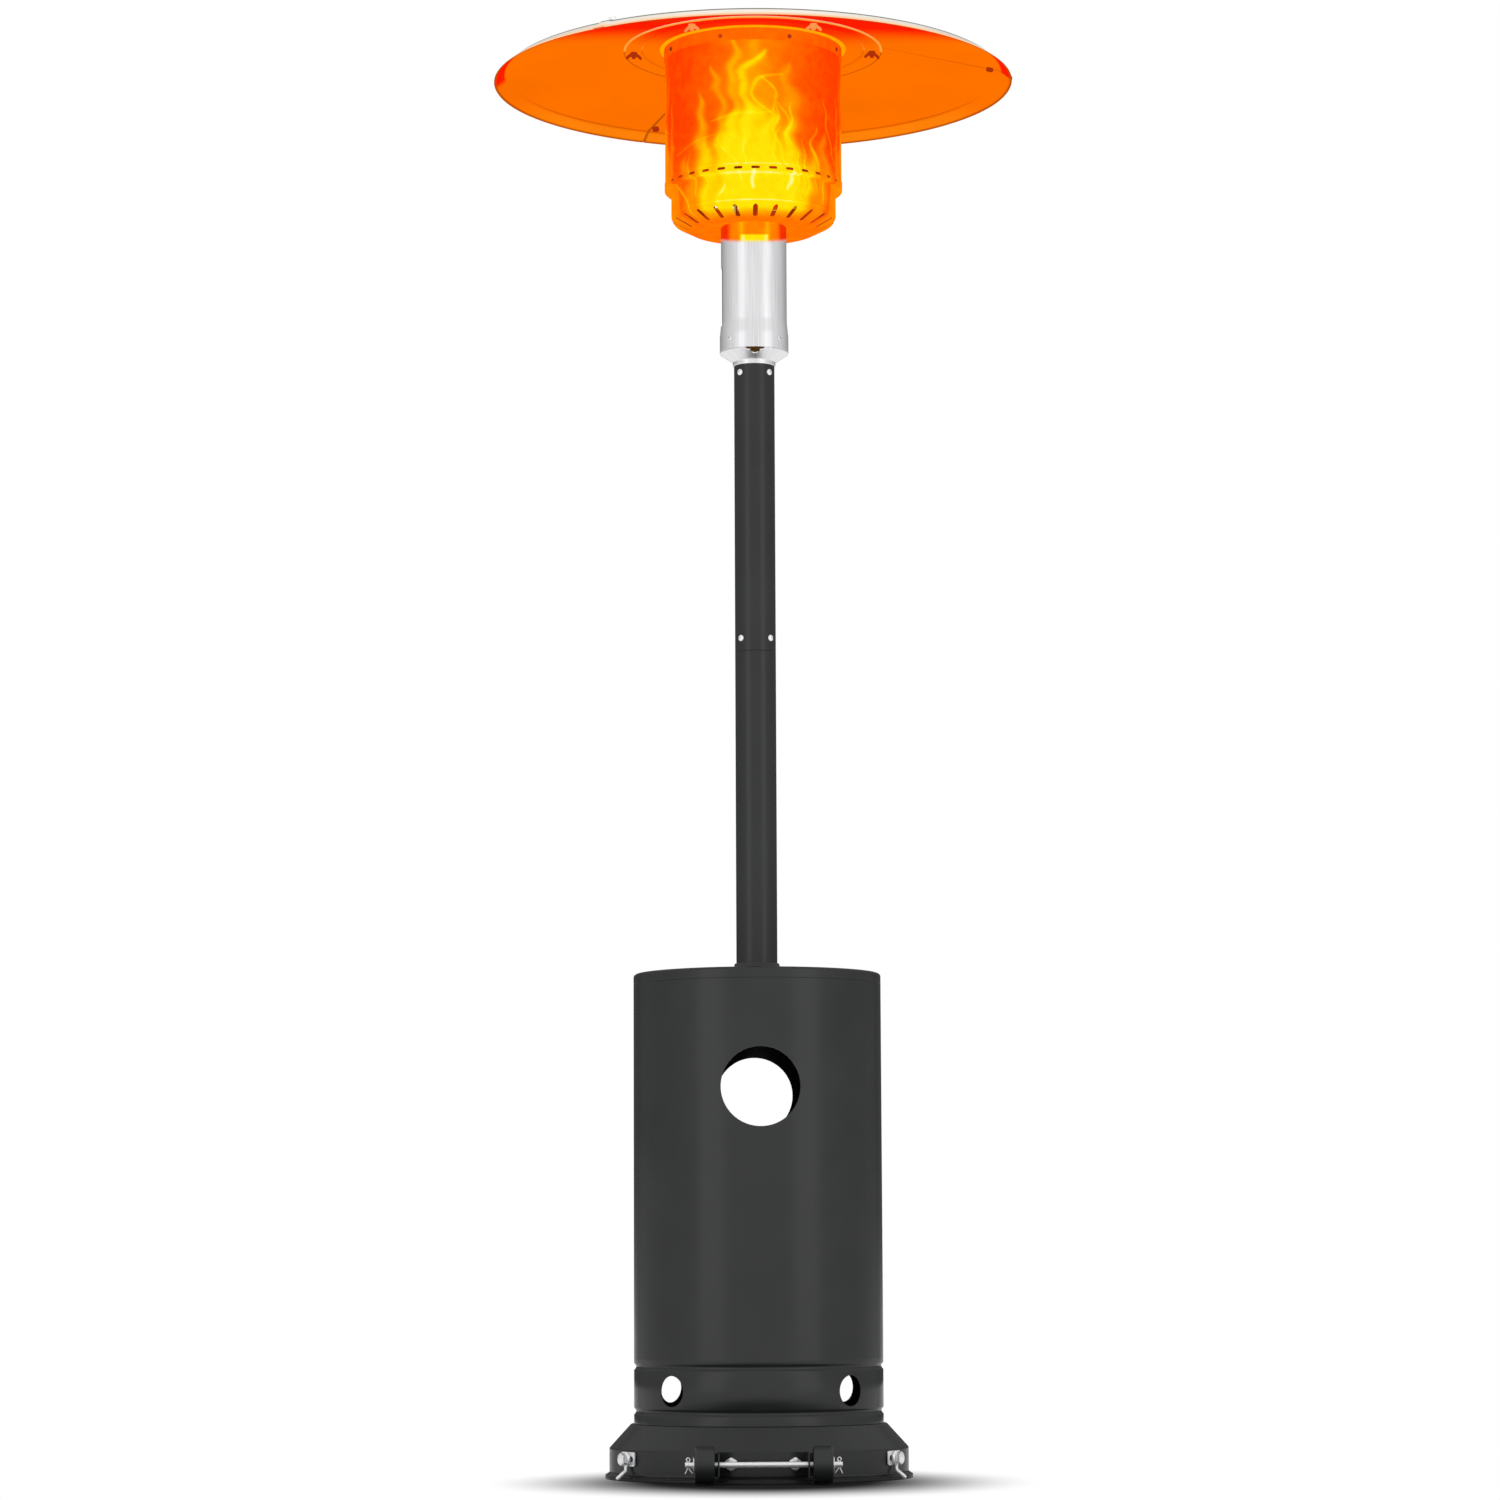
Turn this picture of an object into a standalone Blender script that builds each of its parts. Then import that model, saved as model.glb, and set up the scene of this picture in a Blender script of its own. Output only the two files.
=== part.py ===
"""Propane patio heater, modelled as the separate pieces that it is bolted together from.

Metres, +Z up, with the origin on the floor under the pole's axis. The transport wheels are on the -Y
side, called near, and the gas control faces the far side. Azimuths are degrees about +Z from +X.
"""
import math

import bmesh
import bpy
from mathutils import Matrix, Vector

# Fits between pieces
GAP = 0.0003                  # between two pieces that touch
RUN_GAP = 0.0004              # round a pin that something turns on
POLE_GAP = 0.0012             # between the pole and the bush that slides on it
OVERRUN = 0.01                # how far a cutter runs past what it cuts
WELD = 0.000001               # points this close are one point

# Base
BASE_RADIUS = 0.2334
BASE_PLATE = 0.0045
COVER_SHEET = 0.0018
FLARE_WIDTH = 0.0064
FLARE_RISE = 0.005
SHOULDER_HEIGHT = 0.046
SHOULDER_WIDTH = 0.033
BASE_TOP_HEIGHT = 0.082

# Gas bottle housing
HOUSING_INSET = 0.0045
HOUSING_SHEET = 0.0015
HOUSING_LENGTH = 0.6647
LOW_BEAD_RISE = 0.0187
HIGH_BEAD_RISE = 0.0857
BEAD_WIDTH = 0.011
BEAD_DEPTH = 0.0033
VENT_RISE = 0.0507
VENT_RADIUS = 0.023
ACCESS_RISE = 0.5027
ACCESS_RADIUS = 0.0596
LID_HEIGHT = 0.0165
LID_CORNER = 0.005
LID_SPIGOT = 0.012
LID_HOLE = 0.0375
BUSH_LIP = 0.003
BUSH_RISE = 0.0162
BUSH_DROP = 0.006

# Pole, its socket and the legs that carry it
POLE_RADIUS = 0.0315
POLE_SHEET = 0.0015
LOWER_POLE_LENGTH = 0.5594
UPPER_POLE_LENGTH = 0.4487
SWAGE_LENGTH = 0.05
JOINT_SCREW_RISE = 0.02
TOP_SCREW_DROP = 0.012
SOCKET_DROP = 0.005
SOCKET_DEPTH = 0.04
SOCKET_WALL = 0.003
SOCKET_LEDGE = 0.006
SOCKET_FLANGE = 0.004
SOCKET_FLANGE_RADIUS = 0.095
SOCKET_SCREW_DROP = 0.014
LEG_PLATE = 0.003
LEG_WIDTH = 0.036
LEG_BEND = 0.006
LEG_INSET = 0.014
LEG_FOOT_LENGTH = 0.0255
LEG_FOOT_BOLT_IN = 0.0155
LEG_KNEE_DROP = 0.098
LEG_HEAD_RADIUS = 0.092
LEG_HEAD_END = 0.055
LEG_HEAD_BOLT = 0.075

# Anchor plates and hooks
ANCHOR_HEIGHT = 0.033
ANCHOR_PLATE = 0.0025
ANCHOR_PLATE_LENGTH = 0.038
ANCHOR_PLATE_HEIGHT = 0.021
ANCHOR_HOLE = 0.0045
ANCHOR_HOLE_OFFSET = 0.0107
ANCHOR_PIN = 0.005
HOOK_WIRE = 0.00275
HOOK_STEM = 0.0147
HOOK_TOE_OUT = 0.0143
HOOK_TOE_DOWN = 0.0132

# Wheel bracket, axle and wheels
BRACKET_SHEET = 0.0025
BRACKET_HALF_WIDTH = 0.0673
BRACKET_HEIGHT = 0.0346
BRACKET_ARM = 0.0455
BRACKET_BOLT_OFFSET = 0.046
AXLE_HEIGHT = 0.0293
AXLE_STANDOFF = 0.033
AXLE_RADIUS = 0.0044
AXLE_HALF_LENGTH = 0.1152
WHEEL_RADIUS = 0.0273
WHEEL_WIDTH = 0.0292
WHEEL_OFFSET = 0.0866
WHEEL_SHOULDER = 0.003
WHEEL_HUB = 0.0105
WHEEL_RIM = 0.0055
WHEEL_RECESS = 0.008
WASHER_RADIUS = 0.0118
WASHER_SHEET = 0.0018
COTTER_WIRE = 0.0009
COTTER_OFFSET = 0.1105
COTTER_REACH = 0.0125
COTTER_EYE = 0.0026

# Neck
CUP_SHEET = 0.0015
CUP_SPIGOT = 0.046
CUP_SHOULDER_RADIUS = 0.0332
CUP_SHOULDER = 0.0068
CUP_DEPTH = 0.0135
CUP_WALL = 0.0235
NOTCH_DEPTH = 0.005
NOTCH_RADIUS = 0.0078
NOTCH_REACH = 0.0105
NECK_RADIUS = 0.0512
NECK_SHEET = 0.0012
NECK_LENGTH = 0.1985
NECK_FLARE = 0.0023
NECK_FLARE_RISE = 0.0285
NECK_FLARE_BEND = 0.006
WINDOW_RISE = 0.0412
WINDOW_HEIGHT = 0.092
WINDOW_BEHIND = 0.0018
PANEL_SHEET = 0.0012
PANEL_LAP = 0.006

# Gas control and gas line
VALVE_REAR = 0.004
VALVE_BODY = 0.014
VALVE_BODY_FRONT = 0.028
VALVE_BOSS = 0.01
VALVE_THREAD = 0.007
VALVE_THREAD_OUT = 0.0057
VALVE_PORT_OFFSET = 0.016
VALVE_PORT = 0.0075
VALVE_PORT_REACH = 0.026
VALVE_NUT = 0.0105
VALVE_NUT_HEIGHT = 0.0035
STEM_RADIUS = 0.0035
STEM_IN_VALVE = 0.0155
KNOB_TRAVEL = 0.006
KNOB_STANDOFF = 0.0018
KNOB_RADIUS = 0.019
KNOB_DEPTH = 0.022
KNOB_CORNER = 0.002
KNOB_RECESS_RADIUS = 0.0125
KNOB_RECESS = 0.0075
KNOB_SOCKET = 0.008
KNOB_GRIP_WIDTH = 0.006
KNOB_GRIP_RISE = 0.006
INLET_NUT = 0.0095
INLET_NUT_HEIGHT = 0.009
INLET_NIPPLE = 0.0055
INLET_LENGTH = 0.022
SWITCH_DEPTH = 0.0237
SWITCH_WIDTH = 0.022
SWITCH_HEIGHT = 0.026
RISER_RADIUS = 0.0035
RISER_STRAIGHT = 0.012
NOZZLE_RADIUS = 0.0068
NOZZLE_LENGTH = 0.018
NOZZLE_TIP = 0.006
NOZZLE_DROP = 0.0265

# Burner and emitter screen
BOWL_SHEET = 0.0012
BOWL_RADIUS = 0.1285
BOWL_CORNER_RADIUS = 0.1245
BOWL_CORNER_RISE = 0.0079
BOWL_TURN_RISE = 0.0159
BOWL_HEIGHT = 0.0574
BOWL_LOW_RADIUS = 0.098
BOWL_LOW_DROP = 0.0056
BOWL_FLAT_LAP = 0.003
BOWL_HOLE = 0.021
BOWL_SLOT_INNER = 0.1
BOWL_SLOT_OUTER = 0.1235
BOWL_SLOT_WIDTH = 0.0068
MIXER_RADIUS = 0.019
MIXER_WALL = 0.0015
MIXER_FLANGE = 0.034
MIXER_RISE = 0.052
MIXER_DROP = 0.027
HEAD_RADIUS = 0.05
HEAD_HEIGHT = 0.022
PILOT_RADIUS = 0.005
PILOT_LENGTH = 0.043
PILOT_OFFSET = 0.043
THERMOCOUPLE_RADIUS = 0.003
ELECTRODE_RADIUS = 0.0035
ELECTRODE_TIP = 0.0012
ELECTRODE_TIP_LENGTH = 0.008
SCREEN_RADIUS = 0.138
SCREEN_SHEET = 0.0012
SCREEN_LENGTH = 0.2135
SCREEN_RING_LIP = 0.001
SCREEN_RING_HEIGHT = 0.0127
SCREEN_RING_INSET = 0.001
RING_SLOT_LENGTH = 0.0135
RING_SLOT_HEIGHT = 0.0045
RING_SLOT_RISE = 0.0065
TOP_RING_SHEET = 0.0012
TOP_RING_FLANGE = 0.0065
TOP_RING_COLLAR = 0.018

# Reflector
REFLECTOR_RADIUS = 0.4065
REFLECTOR_SHEET = 0.001
REFLECTOR_FALL = 0.041
REFLECTOR_LIP = 0.0149          # down, and the flare is how far out
REFLECTOR_FLARE = 0.0201
REFLECTOR_EASE = 0.002
REFLECTOR_FOLD = 0.2045
PLATE_RADIUS = 0.203
PLATE_SHEET = 0.0012
PLATE_ROLL = 0.0016
PLATE_STEP_RADIUS = 0.176
PLATE_STEP = 0.003
STUD_CIRCLE = 0.187
STUD_RADIUS = 0.003
STUD_HEAD = 0.0062
STUD_HEAD_HEIGHT = 0.0042
STUD_END = 0.003
WING_CORE = 0.0056
WING_HEIGHT = 0.007
WING_REACH = 0.0128
WING_DROP = 0.0115
WING_SHEET = 0.0018
SEAM_BOLT_INSET = 0.0345

# Fasteners: head radius, head height, shank radius
BIG_SCREW = (0.0049, 0.0028, 0.0024)
SCREW_TAIL = 0.003
BOLT_HEAD = 0.0098
BOLT_HEAD_HEIGHT = 0.0068
BOLT_SHANK = 0.0048
LEG_BOLT_HEAD = 0.0075
LEG_BOLT_HEIGHT = 0.0055
LEG_BOLT_SHANK = 0.0038
SEAM_BOLT_HEAD = 0.0062
SEAM_BOLT_HEIGHT = 0.005
SEAM_BOLT_SHANK = 0.0024
HOLE_EASE = 0.0004            # between a shank and its hole

# Azimuths, in degrees
NEAR = -90
SHARP_TURN = 35
LEG_TURNS = {"near": -120, "far": 120, "right": 0}
ANCHOR_TURNS = {"left": -150, "right": -30, "far": 90}
CROSS_START = 45
PANEL_TURN = 105
PANEL_HALF_SPAN = 105
STUD_START = -1.5
SEAM_START = -4.5
TONGUE_TURN = 3
JOGGLE_TURN = 0.5
PILOT_STEP = 24
SWING_LOOP_START = -40
SWING_LOOP_END = 225
WING_TURNS = (20, 75, 130, 10, 95, 60)

# Numbers of sides and of repeats
ROUND_SIDES = 36
SCREEN_SIDES = 32
POLE_SIDES = 24
TURNED_SIDES = 16
VALVE_SIDES = 12
SMALL_SIDES = 8
HEX = 6
BOWL_SIDES = 24
BOWL_SLOTS = 24
RING_SLOTS = 32
STUDS = 6
PANEL_STEPS = 20

# Heights that stack up from the floor
COVER_FOOT = BASE_PLATE + GAP
HOUSING_FOOT = BASE_TOP_HEIGHT + GAP
HOUSING_TOP = HOUSING_FOOT + HOUSING_LENGTH
LID_FOOT = HOUSING_TOP + GAP
LID_TOP = LID_FOOT + LID_HEIGHT
SOCKET_TOP = LID_FOOT - SOCKET_DROP
SOCKET_FLOOR = SOCKET_TOP - SOCKET_DEPTH
FLANGE_UNDER = SOCKET_FLOOR - SOCKET_FLANGE
POLE_FOOT = SOCKET_FLOOR + GAP
POLE_SEAM = POLE_FOOT + LOWER_POLE_LENGTH
UPPER_POLE_FOOT = POLE_SEAM + GAP
POLE_TOP = UPPER_POLE_FOOT + UPPER_POLE_LENGTH
CUP_SEAT = POLE_TOP + GAP
CUP_CONE_FOOT = CUP_SEAT + CUP_SHOULDER
CUP_RIM = CUP_CONE_FOOT + CUP_DEPTH
NECK_FOOT = CUP_RIM + CUP_SHEET + GAP
NECK_TOP = NECK_FOOT + NECK_LENGTH
WINDOW_FOOT = NECK_FOOT + WINDOW_RISE
VALVE_HEIGHT = WINDOW_FOOT + WINDOW_HEIGHT / 2
BOWL_UNDER = NECK_TOP + GAP
BOWL_FLOOR = BOWL_UNDER + BOWL_SHEET
BOWL_TOP = BOWL_UNDER + BOWL_HEIGHT
SCREEN_RING_FOOT = BOWL_TOP + GAP
SCREEN_FOOT = SCREEN_RING_FOOT + SCREEN_RING_HEIGHT + GAP
SCREEN_TOP = SCREEN_FOOT + SCREEN_LENGTH
TOP_RING_UNDER = SCREEN_TOP + GAP
PLATE_UNDER = TOP_RING_UNDER + TOP_RING_SHEET + GAP - PLATE_STEP
REFLECTOR_UNDER = PLATE_UNDER + PLATE_SHEET + GAP

# Radii that follow from one another
SKIRT_RADIUS = BASE_RADIUS - FLARE_WIDTH
BASE_TOP_RADIUS = SKIRT_RADIUS - SHOULDER_WIDTH
HOUSING_RADIUS = BASE_TOP_RADIUS - HOUSING_INSET
LEG_RADIUS = HOUSING_RADIUS - LEG_INSET
LEG_FOOT_END = LEG_RADIUS - LEG_FOOT_LENGTH
LEG_FOOT_BOLT = LEG_RADIUS - LEG_FOOT_BOLT_IN
AXLE_OUT = SKIRT_RADIUS + AXLE_STANDOFF
BRACKET_REACH = SKIRT_RADIUS + BRACKET_ARM
SEAM_BOLT_CIRCLE = REFLECTOR_RADIUS - SEAM_BOLT_INSET
CREASE_RADIUS = REFLECTOR_RADIUS - REFLECTOR_FLARE
SWAGE_RADIUS = POLE_RADIUS - POLE_SHEET - GAP
SWAGE_BORE = SWAGE_RADIUS - POLE_SHEET
CUP_RADIUS = NECK_RADIUS + NECK_FLARE
CUP_WALL_RADIUS = CUP_RADIUS - NECK_SHEET - GAP
PANEL_RADIUS = NECK_RADIUS - NECK_SHEET - GAP
BRACKET_SEAT = SKIRT_RADIUS + GAP
ANCHOR_FACE = SKIRT_RADIUS + GAP + ANCHOR_PLATE
HOOK_OUT = ANCHOR_FACE + GAP + HOOK_WIRE
TOP_RING_BORE = SCREEN_RADIUS + GAP
TOP_RING_RADIUS = TOP_RING_BORE + TOP_RING_SHEET
REFLECTOR_INNER = PLATE_STEP_RADIUS + REFLECTOR_EASE

# Colours as linear RGB, with roughness and metallic
FINISHES = {
    "charcoal_coat": ((0.035, 0.04, 0.038), 0.5, 0.3),
    "bright_steel": ((0.72, 0.72, 0.72), 0.25, 1),
    "zinc": ((0.75, 0.76, 0.78), 0.35, 1),
    "aluminium": ((0.8, 0.78, 0.75), 0.3, 1),
    "hot_screen": ((0.9, 0.35, 0.05), 0.6, 0.2),
    "brass": ((0.7, 0.5, 0.2), 0.35, 1),
    "black_plastic": ((0.02, 0.02, 0.02), 0.5, 0),
    "ceramic": ((0.85, 0.83, 0.8), 0.4, 0),
}


def make_collection(name):
    """A new collection in the scene."""
    group = bpy.data.collections.new(name)
    bpy.context.scene.collection.children.link(group)
    return group


def make_material(name):
    """A Principled material with one of the finishes above."""
    colour, roughness, metallic = FINISHES[name]
    material = bpy.data.materials.new(name)
    material.use_nodes = True
    surface = material.node_tree.nodes["Principled BSDF"]
    surface.inputs["Base Color"].default_value = (*colour, 1)
    surface.inputs["Roughness"].default_value = roughness
    surface.inputs["Metallic"].default_value = metallic
    return material


for old in list(bpy.data.objects):
    bpy.data.objects.remove(old, do_unlink=True)
PARTS = make_collection("propane_patio_heater")
TOOLS = make_collection("cutters")
MATERIALS = {name: make_material(name) for name in FINISHES}


def add_part(name, mesh, finish):
    """Put a mesh in the scene as a named piece with its finish."""
    part = bpy.data.objects.new(name, mesh)
    mesh.shade_smooth()
    mesh.set_sharp_from_angle(angle=math.radians(SHARP_TURN))
    mesh.materials.clear()
    mesh.materials.append(MATERIALS[finish])
    PARTS.objects.link(part)
    return part


def add_tool(name, mesh):
    """Put a mesh in the scene as a cutter or a shape to join on."""
    tool = bpy.data.objects.new(name, mesh)
    TOOLS.objects.link(tool)
    tool.hide_render = True
    tool.display_type = "WIRE"
    return tool


def combine(piece, tool, operation="DIFFERENCE"):
    """Cut a tool out of a piece, or join it on."""
    step = piece.modifiers.new(tool.name, "BOOLEAN")
    step.operation = operation
    step.solver = "EXACT"
    step.object = tool


def outline_mesh(name, outline, ring):
    """A chain of edges through (radius, height) points, closed when it is a ring."""
    mesh = bpy.data.meshes.new(name)
    points = [(radius, 0, height) for radius, height in outline]
    edges = [(index, index + 1) for index in range(len(points) - 1)]
    if ring:
        edges.append((len(points) - 1, 0))
    mesh.from_pydata(points, edges, [])
    return mesh


def turned(name, outline, finish, sides=ROUND_SIDES, ring=True, wall=0.0, start=0.0):
    """Turn an outline about Z. It runs down the outer side. An open one gets a wall inside it."""
    part = add_part(name, outline_mesh(name, outline, ring), finish)
    part.rotation_euler.z = math.radians(start)
    screw = part.modifiers.new("turn", "SCREW")
    screw.steps = sides
    screw.render_steps = sides
    screw.use_merge_vertices = True
    screw.merge_threshold = WELD
    if wall:
        shell = part.modifiers.new("wall", "SOLIDIFY")
        shell.thickness = wall
        shell.offset = -1
        shell.use_even_offset = True
    return part


def lathe(name, outline, sides, ring=False):
    """A small turned solid as a plain mesh, from (radius, height) points."""
    shape = bmesh.new()
    points = [shape.verts.new((radius, 0, height)) for radius, height in outline]
    pairs = list(zip(points, points[1:]))
    if ring:
        pairs.append((points[-1], points[0]))
    edges = [shape.edges.new(pair) for pair in pairs]
    bmesh.ops.spin(shape, geom=points + edges, axis=(0, 0, 1), cent=(0, 0, 0), angle=2 * math.pi,
                   steps=sides, use_merge=True)
    bmesh.ops.remove_doubles(shape, verts=shape.verts, dist=WELD)
    bmesh.ops.recalc_face_normals(shape, faces=shape.faces)
    mesh = bpy.data.meshes.new(name)
    shape.to_mesh(mesh)
    shape.free()
    return mesh


def around(radius, sides):
    """The corner radius of a polygon whose flats touch a circle."""
    return radius / math.cos(math.pi / sides)


def rod(name, radius, low, high, sides=SMALL_SIDES):
    """A plain cylinder along Z."""
    shape = bmesh.new()
    middle = Matrix.Translation((0, 0, (low + high) / 2))
    bmesh.ops.create_cone(shape, cap_ends=True, segments=sides, radius1=radius, radius2=radius,
                          depth=high - low, matrix=middle)
    mesh = bpy.data.meshes.new(name)
    shape.to_mesh(mesh)
    shape.free()
    return mesh


def drill(name, radius, low, high, sides=HEX):
    """A cutter along Z that leaves room for a pin of a radius."""
    return rod(name, around(radius + HOLE_EASE, sides), low, high, sides)


def group(name, mesh, places):
    """One mesh with a copy of another at each place."""
    joined = bmesh.new()
    for place in places:
        before = len(joined.verts)
        joined.from_mesh(mesh)
        joined.verts.ensure_lookup_table()
        bmesh.ops.transform(joined, matrix=place, verts=joined.verts[before:])
    result = bpy.data.meshes.new(name)
    joined.to_mesh(result)
    joined.free()
    return result


def box_mesh(name, low, high):
    """A box between two corners."""
    shape = bmesh.new()
    bmesh.ops.create_cube(shape, size=1)
    low, high = Vector(low), Vector(high)
    size = Matrix.Diagonal((*(high - low), 1))
    bmesh.ops.transform(shape, matrix=Matrix.Translation((low + high) / 2) @ size, verts=shape.verts)
    mesh = bpy.data.meshes.new(name)
    shape.to_mesh(mesh)
    shape.free()
    return mesh


def curve_mesh(name, curve):
    """The closed mesh of a curve, with its caps welded on."""
    guide = bpy.data.objects.new(name, curve)
    TOOLS.objects.link(guide)
    seen = guide.evaluated_get(bpy.context.evaluated_depsgraph_get())
    mesh = bpy.data.meshes.new_from_object(seen)
    bpy.data.objects.remove(guide, do_unlink=True)
    shape = bmesh.new()
    shape.from_mesh(mesh)
    bmesh.ops.remove_doubles(shape, verts=shape.verts, dist=WELD)
    bmesh.ops.recalc_face_normals(shape, faces=shape.faces)
    shape.to_mesh(mesh)
    shape.free()
    return mesh


def plate_mesh(name, outline, thickness):
    """A flat plate with an outline in the XY plane, centred on that plane."""
    curve = bpy.data.curves.new(name, "CURVE")
    curve.dimensions = "2D"
    curve.fill_mode = "BOTH"
    curve.extrude = thickness / 2
    spline = curve.splines.new("POLY")
    spline.points.add(len(outline) - 1)
    for point, (across, along) in zip(spline.points, outline):
        point.co = (across, along, 0, 1)
    spline.use_cyclic_u = True
    return curve_mesh(name, curve)


def wire_mesh(name, route, radius, resolution=2):
    """A round wire along a route, with flat ends."""
    curve = bpy.data.curves.new(name, "CURVE")
    curve.dimensions = "3D"
    curve.bevel_depth = radius
    curve.bevel_resolution = resolution
    curve.use_fill_caps = True
    spline = curve.splines.new("POLY")
    spline.points.add(len(route) - 1)
    for point, place in zip(spline.points, route):
        point.co = (*place, 1)
    return curve_mesh(name, curve)


def on_circle(radius, turn):
    """The point at an azimuth on a circle about the origin."""
    angle = math.radians(turn)
    return radius * math.cos(angle), radius * math.sin(angle)


def radial(turn, height, out=0.0):
    """A place whose Z points outward at an azimuth."""
    lie = Matrix.Rotation(math.radians(90), 4, "Y")
    return Matrix.Rotation(math.radians(turn), 4, "Z") @ Matrix.Translation((out, 0, height)) @ lie


def upright(turn, height, out):
    """A place whose Z points up, at an azimuth and a radius."""
    return Matrix.Rotation(math.radians(turn), 4, "Z") @ Matrix.Translation((out, 0, height))


def turns(count, start):
    """Evenly spaced azimuths."""
    return [start + 360 * index / count for index in range(count)]


def rounded(points, radius, steps=2):
    """A chain of points with each inner corner turned into an arc."""
    chain = [Vector(points[0])]
    for before, corner, after in zip(points, points[1:], points[2:]):
        corner = Vector(corner)
        back = (Vector(before) - corner).normalized()
        ahead = (Vector(after) - corner).normalized()
        half = back.angle(ahead) / 2
        centre = corner + (back + ahead).normalized() * (radius / math.sin(half))
        first = corner + back * (radius / math.tan(half)) - centre
        last = corner + ahead * (radius / math.tan(half)) - centre
        for step in range(steps + 1):
            chain.append(centre + first.slerp(last, step / steps).normalized() * radius)
    chain.append(Vector(points[-1]))
    return chain


def beside(points, distance):
    """The chain of points that runs at a distance to the left of another, in its plane."""
    result = []
    for index, point in enumerate(points):
        back = points[max(index - 1, 0)]
        ahead = points[min(index + 1, len(points) - 1)]
        into = (point - back if index else ahead - point).normalized()
        out = (ahead - point if index < len(points) - 1 else point - back).normalized()
        normal = Vector((-into.y - out.y, into.x + out.x)).normalized()
        reach = distance / max(normal.dot(Vector((-into.y, into.x))), 0.3)
        result.append(point + normal * reach)
    return result


def inside_flat(radius, half_width, sides=ROUND_SIDES):
    """How far out a flat face of a half width reaches inside a turned wall."""
    flat = radius * math.cos(math.pi / sides)
    return math.sqrt(flat ** 2 - half_width ** 2) - GAP


def screw_mesh(name, head, height, shank, depth, seat=GAP):
    """A screw whose head sits over Z = 0 and whose shank goes down from it."""
    crown_share = 0.65
    outline = [(0, seat + height), (head * crown_share, seat + height), (head, seat),
               (shank, seat), (shank, -depth), (0, -depth)]
    return lathe(name, outline, HEX)


def bolt_mesh(name, head, height, shank, grip, seat=GAP, nut_seat=GAP):
    """A hex bolt with its nut run up, gripping what lies between Z = 0 and Z = -grip."""
    nut = -grip - nut_seat
    outline = [(0, seat + height), (head, seat + height), (head, seat), (shank, seat), (shank, nut),
               (head, nut), (head, nut - height), (0, nut - height)]
    return lathe(name, outline, HEX)


def base():
    """The foot plate and the pressed cover that stands on it."""
    turned("base_plate", [(0, BASE_PLATE), (BASE_RADIUS, BASE_PLATE), (BASE_RADIUS, 0), (0, 0)],
           "charcoal_coat", ring=False)
    cover = turned("base_cover", [
        (0, BASE_TOP_HEIGHT),
        (BASE_TOP_RADIUS, BASE_TOP_HEIGHT),
        (SKIRT_RADIUS, SHOULDER_HEIGHT),
        (SKIRT_RADIUS, COVER_FOOT + FLARE_RISE),
        (BASE_RADIUS, COVER_FOOT),
        (BASE_RADIUS - COVER_SHEET, COVER_FOOT),
        (SKIRT_RADIUS - COVER_SHEET, COVER_FOOT + FLARE_RISE - COVER_SHEET / 2),
        (SKIRT_RADIUS - COVER_SHEET, SHOULDER_HEIGHT - COVER_SHEET / 2),
        (BASE_TOP_RADIUS - COVER_SHEET / 2, BASE_TOP_HEIGHT - COVER_SHEET),
        (0, BASE_TOP_HEIGHT - COVER_SHEET),
    ], "charcoal_coat", ring=False)
    return cover


def legs(cover, socket):
    """Three bent flat legs from the base to the socket's flange, each with its two bolts."""
    foot = HOUSING_FOOT + LEG_PLATE / 2
    head = FLANGE_UNDER - GAP - LEG_PLATE / 2
    knee = FLANGE_UNDER - LEG_KNEE_DROP
    path = [(LEG_FOOT_END, foot), (LEG_RADIUS, foot), (LEG_RADIUS, knee), (LEG_HEAD_RADIUS, head),
            (LEG_HEAD_END, head)]
    middle = rounded([Vector(point) for point in path], LEG_BEND)
    outline = beside(middle, LEG_PLATE / 2) + beside(middle, -LEG_PLATE / 2)[::-1]
    upend = Matrix.Rotation(math.radians(90), 4, "X")
    cover_grip = LEG_PLATE + GAP + COVER_SHEET
    head_grip = SOCKET_FLANGE + GAP + LEG_PLATE
    foot_bolt = bolt_mesh("foot_bolt", LEG_BOLT_HEAD, LEG_BOLT_HEIGHT, LEG_BOLT_SHANK, cover_grip, -GAP)
    head_bolt = bolt_mesh("head_bolt", LEG_BOLT_HEAD, LEG_BOLT_HEIGHT, LEG_BOLT_SHANK, head_grip,
                          GAP, -GAP)
    foot_bolt.transform(upright(0, HOUSING_FOOT + LEG_PLATE, LEG_FOOT_BOLT))
    head_bolt.transform(upright(0, SOCKET_FLOOR, LEG_HEAD_BOLT))
    for side, turn in LEG_TURNS.items():
        mesh = plate_mesh("leg", outline, LEG_WIDTH)
        mesh.transform(upend)
        leg = add_part(f"support_leg_{side}", mesh, "charcoal_coat")
        leg.rotation_euler.z = math.radians(turn)
        for bolt in (foot_bolt, head_bolt):
            tool = add_tool(f"{bolt.name}_{side}", bolt)
            tool.rotation_euler.z = math.radians(turn)
            combine(leg, tool, "UNION")
    hole = drill("leg_bolt_hole", LEG_BOLT_SHANK, -OVERRUN, OVERRUN)
    places = [upright(turn, BASE_TOP_HEIGHT, LEG_FOOT_BOLT) for turn in LEG_TURNS.values()]
    combine(cover, add_tool("foot_holes", group("foot_holes", hole, places)))
    places = [upright(turn, FLANGE_UNDER, LEG_HEAD_BOLT) for turn in LEG_TURNS.values()]
    combine(socket, add_tool("head_holes", group("head_holes", hole, places)))


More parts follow.
